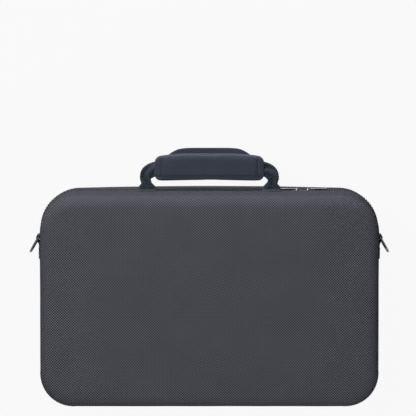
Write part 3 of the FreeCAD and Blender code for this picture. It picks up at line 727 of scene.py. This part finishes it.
@dataclass
class RimBand:
    """A band of cloth that stands round the inside of a rim."""

    name: str
    inset: float
    low: float
    high: float
    thick: float
    smooth: int = 0

    def build(self) -> Object:
        """Model the band from a rounded box without its caps.

        Returns:
            The band, with its cloth map round the outline.
        """
        across, along = CASE.width / 2 - self.inset, CASE.length / 2 - self.inset
        piece = rounded_block(self.name, (-across, -along, self.low), (across, along, self.high),
                              CASE.corner - self.inset, 10)
        with editing(piece, "FACE"):
            pick(piece, "faces", lambda face: abs(face.normal.z) > 0.9)
            bpy.ops.mesh.delete(type="ONLY_FACE")
        bisect(piece, 0, spread(-175, 175, 17))
        bisect(piece, 1, spread(-95, 95, 17))
        finish_mesh(piece, thick=self.thick, smooth=self.smooth, offset=-1.0)
        cloth_map(piece, lambda point, normal: (point.z, outline_run(point, normal)))
        return piece


@dataclass
class HalfShell:
    """One half of the case: moulded foam between woven nylon and a brushed lining."""

    half: Half
    fillet: float = 15.0
    wall: float = 5.0
    rim_wall: float = 4.0
    rebate: float = 14.0
    crown: float = 2.6
    slack: float = 0.35
    bow: float = 2.0
    bow_start: float = -60.0
    square: float = 2.6
    wave_length: float = 62.0

    def build(self) -> Object:
        """Model the shell: a rounded box, drafted, its face edge rounded, then hollowed.

        Returns:
            The finished shell.
        """
        rim, face = CASE.rim(self.half), CASE.face(self.half)
        up = 1 if self.half is Half.LID else -1
        low, high = sorted((rim, face))
        piece = rounded_block(f"{self.half.value}_nylon_shell", (-CASE.width / 2, -CASE.length / 2, low),
                              (CASE.width / 2, CASE.length / 2, high), CASE.corner, 14)
        shape(piece, self.drafted)
        with editing(piece):
            pick(piece, "edges", level(face))
            bpy.ops.mesh.bevel(offset=self.fillet * MM, segments=8, affect="EDGES")
        with editing(piece, "FACE"):
            pick(piece, "faces", lambda part: part.normal.z * up < -0.9)
            bpy.ops.mesh.delete(type="ONLY_FACE")
        bisect(piece, 2, [rim + up * d for d in (self.rebate - 0.2, self.rebate + 0.2, 28, 40, 52)])
        bisect(piece, 0, spread(-210, 210, 14))
        bisect(piece, 1, spread(-130, 130, 14))
        shape(piece, self.softened)
        wall = piece.modifiers.new("foam", "SOLIDIFY")
        wall.thickness, wall.offset = self.wall * MM, -1.0
        wall.use_even_offset = True
        apply_modifiers(piece)
        shape(piece, self.rebated)
        bpy.ops.object.shade_smooth_by_angle(angle=math.radians(40))
        cloth_map(piece)
        dress(piece, self.half.value, [NYLON.material(), LINING.material()],
              [f"{self.half.value}_shell"])
        self.line(piece)
        return piece

    def line(self, piece: Object) -> None:
        """Put the lining, the second finish, on the faces that look into the shell."""
        middle = Vector((0, 0, CASE.rim(self.half) * MM))
        inner = [int(part.normal.dot(part.center - middle) < -0.5 * MM) for part in piece.data.polygons]
        piece.data.polygons.foreach_set("material_index", inner)

    def drafted(self, point: Vector) -> Vector:
        """Where a corner of the box stands once the walls lean in."""
        return point - outline_out(point).normalized() * CASE.inset_at(point.z)

    def softened(self, point: Vector) -> Vector:
        """Where a place lies once the cloth is drawn over the foam: a low crown and slight unevenness."""
        up = 1 if self.half is Half.LID else -1
        near = max(2 * abs(point.x) / CASE.width, 2 * abs(point.y) / CASE.length)
        on_face = max(0.0, 1 - abs(point.z - CASE.face(self.half)) / self.fillet)
        fall = self.crown * min(near, 1.0) ** 8 * on_face
        rim_near = min(1.0, abs(point.z - CASE.rim(self.half)) / 10)
        wave = noise.noise(point / self.wave_length + Vector((0, 0, 3.7 * up))) * self.slack * rim_near
        swell = wave if self.half is Half.LID else min(wave, 0.0)
        sag = Vector((0, 0, up * (swell * on_face - fall)))
        sag += outline_out(point).normalized() * (wave * (1 - on_face))
        if self.half is Half.LID and point.y > 0:
            out = outline_out(point).normalized()
            sag += out * (self.square * 2 * abs(out.x * out.y) * rim_near)
        if self.half is Half.BASE and point.y < self.bow_start:
            ease = min(1.0, (self.bow_start - point.y) / 40)
            sag.y += self.bow * (point.x / 160) ** 2 * rim_near * ease
        return point + sag

    def rebated(self, point: Vector) -> Vector:
        """Where the inner wall stands beside the zipper tape, thinner than below."""
        if abs(point.z - CASE.rim(self.half)) > self.rebate:
            return point
        out = outline_out(point)
        if out.length > CASE.corner - self.rim_wall + 0.2:
            return point
        return point + out.normalized() * (CASE.corner - self.rim_wall - out.length)


@dataclass
class Zipper:
    """Tapes, coils, sliders and pulls, with the ribbed bindings that hide the tapes' sewn edges."""

    tape_inset: float = 4.05
    tape_thick: float = 0.85
    binding_thick: float = 1.2
    roll: float = 2.4
    pitch: float = 2.2
    tooth: float = 2.3
    sewn_reach: float = 18.5
    tape_gap: float = 0.1
    coil_gap: float = 1.3
    band_gap: float = 2.8
    roll_near: float = 1.7
    roll_far: float = 4.1

    def build(self) -> None:
        """Model both halves and the two sliders."""
        for half in Half:
            self.tape(half)
            self.binding(half)
            self.coil(half)
            self.seam(half)
        for end in ("left", "right"):
            refined(f"zipper_slider_{end}", f"cast_slider_{end}", 0.5, METAL.material())
            refined(f"zipper_pull_{end}", f"cast_pull_{end}", 0.45, METAL.material())

    def heights(self, half: Half, near: float, far: float) -> tuple[float, float]:
        """Lower and upper edge of a band, from its distances to the middle of the zipper."""
        up = 1 if half is Half.LID else -1
        low, high = sorted((CASE.seam + up * near, CASE.seam + up * far))
        return low, high

    def tape(self, half: Half) -> Object:
        """Model one tape, sewn inside its rim."""
        low, high = self.heights(half, self.tape_gap, self.sewn_reach)
        piece = RimBand(f"{half.value}_zipper_cloth", self.tape_inset, low, high, self.tape_thick).build()
        return dress(piece, half.value, [TAPE.material()], [f"{half.value}_zipper_tape"])

    def binding(self, half: Half) -> Object:
        """Model one binding: a ribbon with a rolled edge at the rim."""
        low, high = self.heights(half, self.band_gap, self.sewn_reach)
        edge = self.heights(half, self.roll_near, self.roll_far)
        inset = self.tape_inset + self.tape_thick + 0.05
        band = RimBand("band", inset, low, high, self.binding_thick).build()
        roll = RimBand("roll", inset, *edge, self.roll, smooth=2).build()
        piece = join(f"{half.value}_grosgrain_binding", [band, roll])
        return dress(piece, half.value, [GROSGRAIN.material()], [f"{half.value}_rim_binding"])

    def coil(self, half: Half) -> Object:
        """Model one coil: a tooth repeated along the outline, with the back left open for the hinge."""
        size = self.tooth / 2
        tooth = add_block(f"{half.value}_zipper_teeth", (0, -size, -size), (self.pitch * 0.7, size, size))
        height = CASE.seam + (self.coil_gap if half is Half.LID else -self.coil_gap)
        along_outline(tooth, 2.8, height, self.pitch, 0.45)
        return dress(tooth, half.value, [COIL.material()], [f"{half.value}_zipper_coil"])

    def seam(self, half: Half) -> Object:
        """Sew the tape to the shell: a row of stitches round the outside, near the rim."""
        height = CASE.rim(half) + (5.0 if half is Half.LID else -5.0)
        stitch = add_block(f"{half.value}_rim_stitches", (0, -0.35, -0.45), (2.9, 0.35, 0.45))
        along_outline(stitch, CASE.inset_at(height) - 0.1, height, 4.2, 0.25)
        return dress(stitch, half.value, [THREAD.material()])


def along_outline(unit: Object, inset: float, height: float, pitch: float, bevel: float) -> None:
    """Repeat a small block round the case, from one end of the hinge to the other by way of the handles.

    Args:
        unit: The block, at the origin, its length along X.
        inset: Distance inside the rim's outline in millimetres.
        height: Height of the row.
        pitch: Distance from one block to the next.
        bevel: Edge rounding of the block.
    """
    with editing(unit):
        bpy.ops.mesh.select_all(action="SELECT")
        bpy.ops.mesh.bevel(offset=bevel * MM, segments=1, affect="EDGES")
    across, along, corner = CASE.width / 2 - inset, CASE.length / 2 - inset, CASE.corner - inset
    places = [Vector((-CASE.hinge_end, along, height))]
    for x, y, start in ((-1, 1, 90), (-1, -1, 180), (1, -1, 270), (1, 1, 0)):
        middle = Vector((x * (across - corner), y * (along - corner), height))
        for step in range(13):
            angle = math.radians(start + 7.5 * step)
            places.append(middle + corner * Vector((math.cos(angle), math.sin(angle), 0)))
    places.append(Vector((CASE.hinge_end, along, height)))
    path = bpy.data.objects.new("row_path", bpy.data.curves.new("row_path", "CURVE"))
    bpy.context.scene.collection.objects.link(path)
    path.data.dimensions, path.data.twist_mode = "3D", "Z_UP"
    spline = path.data.splines.new("POLY")
    spline.points.add(len(places) - 1)
    for point, place in zip(spline.points, places):
        point.co = (*(place * MM), 1.0)
    copies = unit.modifiers.new("row", "ARRAY")
    copies.fit_type, copies.curve = "FIT_CURVE", path
    copies.use_relative_offset, copies.use_constant_offset = False, True
    copies.constant_offset_displace = (pitch * MM, 0, 0)
    follow = unit.modifiers.new("outline", "CURVE")
    follow.object, follow.deform_axis = path, "POS_X"
    apply_modifiers(unit)
    bpy.data.objects.remove(path)


@dataclass
class HingeTape:
    """Wide grosgrain that joins the two halves along the back."""

    width: float = 330.0
    thick: float = 1.1

    def build(self) -> Object:
        """Lay the tape up the hinge wall and sew its two edges."""
        out = 0.65
        heights = (53, 60, 66, 70.5, 75, 79.5, 84, 90, 97)
        line = [wall_point(0, Half.LID, z, out, 1.0) for z in heights]
        piece = Ribbon("hinge_grosgrain", line, Vector((1, 0, 0)), self.width, self.thick, 22, 60).build()
        dress(piece, "", [WEBBING.material()], ["hinge_tape"])
        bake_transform(piece)
        for half, z in ((Half.BASE, 56.0), (Half.LID, 94.0)):
            sewn = Stitching(f"{half.value}_hinge_stitches")
            reach = self.width / 2 - 4
            ends = [wall_point(x, half, z, out + 0.6, 1.0) for x in (-reach, reach)]
            sewn.row(*ends, (0, 1, 0))
            sewn.done(half.value, THREAD.material())
        return piece


@dataclass
class Handle:
    """A carrying handle of one half: pleated webbing, a padded grip and, on the base, a wrap flap."""

    half: Half
    root: float = 83.0
    root_width: float = 24.0
    neck_width: float = 12.5
    thick: float = 3.0
    grip_half: float = 73.5
    grip_near: float = -154.5
    grip_far: float = -188.0
    grip_depth: float = 12.0
    seam: float = 64.0

    @property
    def height(self) -> float:
        """Height of the webbing's middle."""
        return 82.0 if self.half is Half.LID else 68.0

    @property
    def body(self) -> str:
        """Body that the grip moves with."""
        return f"{self.half.value}_handle"

    def build(self) -> None:
        """Model the webbing, its sewn patches, the grip and the flap."""
        self.webbing()
        for side in (-1, 1):
            self.patch(side)
        self.grip()
        if self.half is Half.BASE:
            self.flap()

    def webbing(self) -> Object:
        """Model both legs of the webbing, folded narrow as they turn into the grip."""
        legs = []
        for side in (-1, 1):
            line = [(side * x, y, self.height) for x, y in
                    ((83.5, -143.8), (83.7, -147), (84.0, -151), (84.9, -155), (85.2, -159),
                     (83.0, -163.4), (78.0, -167.4), (71.0, -170.0), (64.0, -170.9), (56.0, -171.0))]
            legs.append(Ribbon("leg", line, Vector((0, 0, 1)), self.root_width, self.thick * 0.7, 44, 12,
                               narrow=self.folded, lift=self.pleat, turning=True).build())
        piece = join(f"{self.half.value}_handle_webbing", legs)
        dress(piece, "", [WEBBING.material()], [f"{self.half.value}_handle_strap"])
        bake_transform(piece)
        return piece

    def folded(self, part: float) -> float:
        """Share of the full width along a leg: wide where sewn, narrow at the fold, fuller in the bend."""
        neck = self.neck_width / self.root_width
        if part < 0.16:
            t = part / 0.16
            return 1 + (neck - 1) * t * t * (3 - 2 * t)
        t = min((part - 0.16) / 0.3, 1.0)
        return neck + (0.75 - neck) * t * t * (3 - 2 * t)

    def pleat(self, part: float, side: float) -> float:
        """Rise of the webbing's folds across its width."""
        start = min(part / 0.12, 1.0)
        skew = side + 0.9 * (part - 0.35)
        return 1.5 * start * math.sin(skew * 3 * math.pi) - 0.5 * start * abs(side)

    def patch(self, side: float) -> Object:
        """Model the sewn end of a leg on the handle wall, with its box of stitches."""
        far = 92.4 if self.half is Half.LID else 57.6
        near = 79.7 if self.half is Half.LID else 70.3
        line = [wall_point(side * self.root, self.half, near + (far - near) * t / 4, 0.95)
                for t in range(5)]
        piece = Ribbon(f"{self.body}_patch_{'left' if side < 0 else 'right'}", line, Vector((1, 0, 0)),
                       self.root_width, 1.5, 8, 8).build()
        node = f"{self.half.value}_handle_anchor_{'left' if side < 0 else 'right'}"
        dress(piece, self.half.value, [WEBBING.material()], [node])
        sewn = Stitching(f"{piece.name}_stitches", 1.8, 2.6, 0.45)
        ends = [far + (near - far) * 0.15, far + (near - far) * 0.85]
        xs = (side * self.root - 9.5, side * self.root + 9.5)
        corners = [wall_point(x, self.half, z, 1.8) for x, z in
                   ((xs[0], ends[0]), (xs[1], ends[0]), (xs[1], ends[1]), (xs[0], ends[1]))]
        sewn.box(corners, (0, -1, 0))
        return sewn.done(self.half.value, THREAD.material())

    def grip(self) -> Object:
        """Model the padded sleeve: a flat pad, inflated as cloth, then sewn down at its ends."""
        half_depth = self.grip_depth / 2 - 1.2
        low = (-self.grip_half + 0.4, self.grip_far + 0.2, self.height - half_depth)
        high = (self.grip_half - 0.4, self.grip_near - 0.2, self.height + half_depth)
        piece = rounded_block(f"{self.half.value}_grip_sleeve", low, high, 8.0, 5)
        inflate(piece, 2.2, 1.4)
        shape(piece, self.sewn_down)
        cloth_map(piece)
        dress(piece, self.body, [SLEEVE.material()], [f"{self.half.value}_handle_grip"])
        sewn = Stitching(f"{self.half.value}_grip_stitches", 1.7, 2.5, 0.4)
        out = 1 if self.half is Half.LID else -1
        z = self.height + out * (self.grip_depth / 2 - 1.1)
        for x in (-self.seam, self.seam):
            sewn.row((x, self.grip_far + 4, z), (x, self.grip_near - 4, z), (0, 0, out))
        sewn.done(self.body, THREAD.material())
        return piece

    def sewn_down(self, point: Vector) -> Vector:
        """Where a place of the pad lies once the end seams and the front hem are pulled in."""
        up = point.z - self.height
        groove = sum(math.exp(-((point.x - x) / 1.5) ** 2) for x in (-self.seam, self.seam))
        groove += 0.6 * math.exp(-((point.y - self.grip_near + 5.5) / 1.5) ** 2)
        end = max(0.0, (abs(point.x) - self.seam) / 9)
        squeeze = 1 - 0.3 * min(groove, 1.0) - 0.26 * min(end, 1.0) ** 0.5
        ripple = 0.35 * math.sin(point.x / 9.5 + 1.3) * math.exp(-((point.y - self.grip_near) / 9) ** 2)
        far = (self.grip_near - point.y) / (self.grip_near - self.grip_far)
        bow = far * far * (4.8 * min(1.0, (abs(point.x) / self.grip_half)) ** 2.5 - 2.6)
        return Vector((point.x, point.y + bow, self.height + up * squeeze + ripple))

    def flap(self) -> Object:
        """Model the flap that wraps round both grips: a stiff D of cloth behind the base's grip."""
        piece = add_grid("base_wrap_flap", 36, 16)

        def lay(point: Vector) -> Vector:
            """Where a place of the flat grid lies on the flap."""
            x, t = point.x * MM, point.y * MM + 0.5
            reach = 58.0 - 15.0 * max(0.0, (t - 0.68) / 0.32) ** 1.6
            bow = 0.5 * math.cos(x * math.pi)
            back = 2.4 * t * t * abs(2 * x) ** 6
            return Vector((2 * x * reach, -157.4 - t * 39.4 + back, 60.5 + bow - 0.4 * t))

        shape(piece, lay)
        with editing(piece, "FACE"):
            bpy.ops.mesh.select_all(action="SELECT")
            bpy.ops.mesh.normals_make_consistent(inside=False)
        finish_mesh(piece, thick=1.8, smooth=1)
        cloth_map(piece)
        dress(piece, self.body, [SLEEVE.material()], ["base_handle_flap"])
        return piece


def inflate(piece: Object, voxel: float, cap: float) -> None:
    """Puff a pad up as sewn cloth under pressure, and keep the result.

    Args:
        piece: The pad, slightly smaller than it will be.
        voxel: Size of its even faces in millimetres.
        cap: The most that a point may move, in millimetres.
    """
    activate(piece)
    even = piece.modifiers.new("even", "REMESH")
    even.mode, even.voxel_size = "VOXEL", voxel * MM
    apply_modifiers(piece)
    start = [v.co.copy() for v in piece.data.vertices]
    cloth = piece.modifiers.new("cloth", "CLOTH")
    cloth.settings.use_pressure, cloth.settings.uniform_pressure_force = True, 4.0
    cloth.settings.effector_weights.gravity = 0.0
    cloth.settings.quality = 4
    for step in range(1, 15):
        bpy.context.scene.frame_set(step)
    puffed = piece.evaluated_get(bpy.context.evaluated_depsgraph_get()).to_mesh()
    places = [v.co.copy() for v in puffed.vertices]
    piece.modifiers.clear()
    bpy.context.scene.frame_set(1)
    for vertex, old, new in zip(piece.data.vertices, start, places):
        move = new - old
        vertex.co = old + move.normalized() * min(move.length, cap * MM)
    soft = piece.modifiers.new("soft", "SMOOTH")
    soft.factor, soft.iterations = 0.5, 3
    finish_mesh(piece, smooth=1)


@dataclass
class SideRing:
    """A D-ring for a shoulder strap, held to the side wall by a loop of webbing."""

    side: float
    height: float = 42.0
    width: float = 25.0
    thick: float = 1.7

    @property
    def name(self) -> str:
        """Left or right."""
        return "left" if self.side < 0 else "right"

    def build(self) -> None:
        """Model the loop and finish the ring."""
        line = [(1.0, -35.5), (1.0, -45), (1.0, -55), (1.0, -66), (1.0, -72), (1.0, -75), (1.86, -77.05),
                (3.95, -77.95), (6.04, -77.05), (6.9, -75), (6.3, -72.6), (4.6, -69.5), (3.2, -66), (2.95, -62),
                (2.95, -54), (2.95, -46)]
        lean = CASE.draft
        wall = CASE.width / 2 - CASE.inset_at(self.height)
        out = Vector((self.side * math.cos(lean), 0, -math.sin(lean)))
        up = Vector((self.side * math.sin(lean), 0, math.cos(lean)))
        foot = Vector((self.side * wall, 0, self.height))
        places = [foot + out * n + Vector((0, y, 0)) for n, y in line]
        loop = Ribbon(f"ring_loop_{self.name}", places, up, self.width, self.thick, 70, 8).build()
        dress(loop, "base", [WEBBING.material()], [f"ring_tab_{self.name}"])
        sewn = Stitching(f"ring_loop_stitches_{self.name}", 1.8, 2.6, 0.45)
        corners = [foot + out * 3.9 + up * h + Vector((0, y, 0)) for h, y in
                   ((-10, -60.5), (10, -60.5), (10, -48), (-10, -48))]
        sewn.box(corners, out)
        sewn.done("base", THREAD.material())
        refined(f"d_ring_{self.name}", f"shoulder_ring_{self.name}", 0.0, METAL.material())


@dataclass
class HoldDown:
    """A strap across the base with a side-release buckle."""

    side: float
    offset: float = 115.0
    width: float = 25.0
    thick: float = 1.5
    low: float = 6.1

    @property
    def name(self) -> str:
        """Left or right."""
        return "left" if self.side < 0 else "right"

    def build(self) -> None:
        """Lay both straps and finish the buckle."""
        x = self.side * self.offset
        fall = [(135.1 - 110 * t, self.low + 38.9 * (1 - t) ** 2)
                for t in (0.04, 0.12, 0.25, 0.4, 0.55, 0.7, 0.85, 1.0)]
        long_line = [(135.4, 53), (135.35, 50), (135.3, 46.5), *fall, (10, self.low), (-20, self.low),
                     (-52, 6.4), (-64, 7.6), (-73, 9.4), (-77.2, 9.5)]
        strap = Ribbon(f"strap_long_webbing_{self.name}", [(x, y, z) for y, z in long_line],
                       Vector((1, 0, 0)), self.width, self.thick, 90, 10, lift=self.cup).build()
        dress(strap, "", [STRAP.material()], [f"strap_long_{self.name}"])
        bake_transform(strap)
        tail = [(-135.0, 26), (-134.9, 22.5), (-134.6, 19), (-132.4, 15.6), (-126.8, 12.2), (-119.4, 10.2),
                (-112.8, 9.5), (-108.8, 9.5)]
        short = Ribbon(f"strap_short_webbing_{self.name}", [(x, y, z) for y, z in tail], Vector((1, 0, 0)),
                       self.width, self.thick, 30, 10).build()
        dress(short, "base", [STRAP.material()], [f"strap_short_{self.name}"])
        for node, name in (("buckle_socket", "socket"), ("buckle_plug", "plug")):
            refined(f"{node}_{self.name}", f"moulded_{name}_{self.name}", 0.6, BUCKLE.material())
        sewn = Stitching(f"strap_stitches_{self.name}", 1.8, 2.6, 0.45)
        for z in (47.2, 51.6):
            face = 134.4 + (z - 46.5) * math.tan(CASE.draft)
            sewn.row((x - 11, face, z), (x + 11, face, z), (0, -1, 0))
        sewn.done("base", PALE_THREAD.material())

    def cup(self, part: float, side: float) -> float:
        """Slight cupping of slack webbing across its width."""
        return 0.5 * math.sin(part * math.pi) * (0.25 - side * side)


@dataclass
class Organizer:
    """Cloth panel inside the lid with game slots and two bellows pockets."""

    reach_x: float = 200.0
    reach_y: float = 116.5
    slots: tuple[float, ...] = tuple(-96.0 + 36 * i for i in range(8))

    def build(self) -> None:
        """Model the panel, the slots, both pockets and their bindings."""
        self.panel()
        self.slot_strip()
        for side in (-1, 1):
            self.pocket(side)

    def panel(self) -> Object:
        """Model the panel: thin board under lining cloth."""
        piece = rounded_block("organizer_lining_panel", (-self.reach_x, -self.reach_y, 143),
                              (self.reach_x, self.reach_y, 145), 18, 6)
        finish_mesh(piece, bevel=0.7)
        cloth_map(piece)
        return dress(piece, "lid", [POLYESTER.material()], ["organizer_panel"])

    def slot_strip(self) -> Object:
        """Model the slots: one band of cloth sewn down between cells that stand slightly open."""
        piece = add_grid("game_slot_cloth", 196, 24)
        lines = [-196.0, *self.slots, 196.0]

        def lay(point: Vector) -> Vector:
            """Where a place of the flat grid lies on the band."""
            x, y = point.x * MM * 392, -112.5 + (point.y * MM + 0.5) * 86
            near = min(abs(x - line) for line in lines)
            puff = 1 - math.exp(-((near / 2.8) ** 2))
            droop = 0.25 * noise.noise(Vector((x / 24, y / 40, 5.0)))
            edge = min(1.0, (y + 112.5) / 5)
            return Vector((x, y, 142.75 - (0.3 + (2.3 + droop) * puff) * (0.35 + 0.65 * edge)))

        shape(piece, lay)
        finish_mesh(piece, thick=0.7)
        with editing(piece, "FACE"):
            bpy.ops.mesh.select_all(action="SELECT")
            bpy.ops.mesh.normals_make_consistent(inside=False)
        cloth_map(piece)
        dress(piece, "lid", [POLYESTER.material()], ["slot_strip"])
        sewn = Stitching("slot_stitches", 1.8, 3.0, 0.4)
        for x in self.slots:
            sewn.row((x, -108.5, 141.9), (x, -29.5, 141.9), (0, 0, -1))
        sewn.done("lid", THREAD.material())
        binding = Ribbon("slot_edge_binding", [(x, -24.5, 140.6) for x in (-196, -98, 0, 98, 196)],
                         Vector((0, 1, 0)), 4.0, 1.6, 60, 4).build()
        dress(binding, "lid", [WEBBING.material()], ["slot_binding"])
        return piece

    def pocket(self, side: float) -> Object:
        """Model one bellows pocket: cloth gathered at its sides, open towards the handle."""
        name = "left" if side < 0 else "right"
        piece = add_grid(f"bellows_pocket_{name}", 110, 80)

        def lay(point: Vector) -> Vector:
            """Where a place of the flat grid lies on the pocket."""
            u, v = point.x * MM + 0.5, point.y * MM + 0.5
            x, y = 2.5 + u * 193, -22.0 + v * 134
            edge = min(x - 2.5, 195.5 - x)
            rise = 1 - math.exp(-((edge / 5.0) ** 2))
            fold = 0.5 * math.exp(-(((edge - 13) / 3.2) ** 2)) * (1 - 0.6 * v)
            foot = 1 - math.exp(-(((112.0 - y) / 11) ** 2))
            drape = 0.14 * math.sin(x / 15 + 0.028 * y) * v * (1 - v) * 2.6
            drape += 0.10 * noise.noise(Vector((x / 32, y / 52, 9.0 + side)))
            depth = 11.2 * max(0.0, min(1.0, rise * foot * (0.93 - fold + drape)))
            return Vector((side * x, y, 142.6 - depth))

        shape(piece, lay)
        finish_mesh(piece, thick=0.8)
        with editing(piece, "FACE"):
            bpy.ops.mesh.select_all(action="SELECT")
            bpy.ops.mesh.normals_make_consistent(inside=False)
        cloth_map(piece)
        dress(piece, "lid", [LINING.material()], [f"pocket_{name}"])
        line = [(side * x, -18.0, 129.9 + sag) for x, sag in
                ((7.5, 1.8), (13, 0.9), (30, 0.3), (60, 0.1), (100, 0.0), (140, 0.1), (170, 0.3), (186, 0.9),
                 (190.5, 1.8))]
        binding = Ribbon(f"pocket_edge_binding_{name}", line, Vector((0, 1, 0)), 8.5, 0.9, 60, 4).build()
        return dress(binding, "lid", [WEBBING.material()], [f"pocket_binding_{name}"])


@dataclass
class Studio:
    """Pale floor, soft light and the camera of the photograph."""

    camera_place: tuple[float, float, float] = (0.0018, -0.7653, 6.0399)
    camera_aim: tuple[float, float, float] = (0.0018, -0.1173, 0.0750)
    lens: float = 389.0
    floor_glow: float = 0.93
    sky_low: float = 0.05
    sky_high: float = 0.13

    def build(self) -> None:
        """Set up the floor, the world, the lamps and the camera."""
        self.floor()
        self.world()
        self.lamp("key_softbox", (0.3, -2.6, 0.4), (0, -0.05, 0.1), 0.7, 48.0)
        self.lamp("top_softbox", (0.9, -1.0, 2.4), (0, 0, 0.1), 0.9, 51.0)
        self.lamp("back_fill", (-1.2, 2.4, 0.35), (0, 0, 0.1), 1.4, 30.0)
        self.camera()

    def ray_mix(self, tree: NodeTree) -> Node:
        """Where the background is seen directly, in a reflection or through something."""
        path = add_node(tree, "ShaderNodeLightPath")
        seen = add_node(tree, "ShaderNodeMath", {"operation": "MAXIMUM"}, i0=path.outputs["Is Camera Ray"],
                        i1=path.outputs["Is Glossy Ray"])
        return add_node(tree, "ShaderNodeMath", {"operation": "MAXIMUM"}, i0=seen.outputs[0],
                        i1=path.outputs["Is Transmission Ray"])

    def floor(self) -> None:
        """Lay a white floor that keeps a soft shadow."""
        deselect_all()
        bpy.ops.mesh.primitive_plane_add(size=14.0)
        floor = adopt("studio_floor")
        paper = bpy.data.materials.new("white_paper")
        paper.use_nodes = True
        tree = paper.node_tree
        tree.nodes.clear()
        matte = add_node(tree, "ShaderNodeBsdfDiffuse", {"Color": linear("#8E8E8E")})
        glow = add_node(tree, "ShaderNodeEmission", {"Color": linear("#FFFFFF"), "Strength": 1.0})
        share = add_node(tree, "ShaderNodeMath", {"operation": "MULTIPLY", 1: self.floor_glow},
                         i0=self.ray_mix(tree).outputs[0])
        both = add_node(tree, "ShaderNodeMixShader", None, i0=share.outputs[0], i1=matte.outputs[0],
                        i2=glow.outputs[0])
        add_node(tree, "ShaderNodeOutputMaterial", None, Surface=both.outputs[0])
        floor.data.materials.append(paper)

    def world(self) -> None:
        """Surround the case with even grey light on a white background."""
        world = bpy.data.worlds.new("studio")
        bpy.context.scene.world = world
        world.use_nodes = True
        tree = world.node_tree
        tree.nodes.clear()
        way = add_node(tree, "ShaderNodeTexCoord")
        parts = add_node(tree, "ShaderNodeSeparateXYZ", None, Vector=way.outputs["Generated"])
        sky = add_node(tree, "ShaderNodeMapRange", {"To Min": self.sky_low, "To Max": self.sky_high},
                       Value=parts.outputs[2])
        strength = add_node(tree, "ShaderNodeMath", {"operation": "MAXIMUM"}, i0=sky.outputs[0],
                            i1=self.ray_mix(tree).outputs[0])
        glow = add_node(tree, "ShaderNodeBackground", {"Color": linear("#FFFFFF")},
                        Strength=strength.outputs[0])
        add_node(tree, "ShaderNodeOutputWorld", None, Surface=glow.outputs[0])

    def lamp(self, name: str, place: Sequence[float], aim: Sequence[float], size: float,
             power: float) -> None:
        """Hang a soft square lamp."""
        bpy.ops.object.light_add(type="AREA", location=place)
        lamp = bpy.context.active_object
        lamp.name = name
        lamp.data.size, lamp.data.energy = size, power
        lamp.rotation_euler = (Vector(aim) - Vector(place)).to_track_quat("-Z", "Y").to_euler()

    def camera(self) -> None:
        """Stand the camera over the lid, with the handles towards the top of the picture."""
        place, aim = Vector(self.camera_place), Vector(self.camera_aim)
        forward = (aim - place).normalized()
        right = forward.cross(Vector((0, -1, 0))).normalized()
        up = right.cross(forward)
        turn = Matrix((right, up, -forward)).transposed().to_4x4()
        bpy.ops.object.camera_add()
        camera = bpy.context.active_object
        camera.name = "photo_camera"
        camera.matrix_world = Matrix.Translation(place) @ turn
        camera.data.sensor_width, camera.data.lens = 36.0, self.lens
        camera.data.clip_end = 50.0
        bpy.context.scene.camera = camera
        bpy.context.scene.view_settings.view_transform = "Standard"


def main() -> None:
    """Build the case piece by piece."""
    logging.basicConfig(level=logging.INFO, format="%(message)s")
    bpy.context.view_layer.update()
    Studio().build()
    for half in Half:
        HalfShell(half).build()
    Zipper().build()
    HingeTape().build()
    for half in Half:
        Handle(half).build()
    for side in (-1, 1):
        SideRing(side).build()
        HoldDown(side).build()
    Organizer().build()
    deselect_all()


if __name__ == "__main__":
    main()
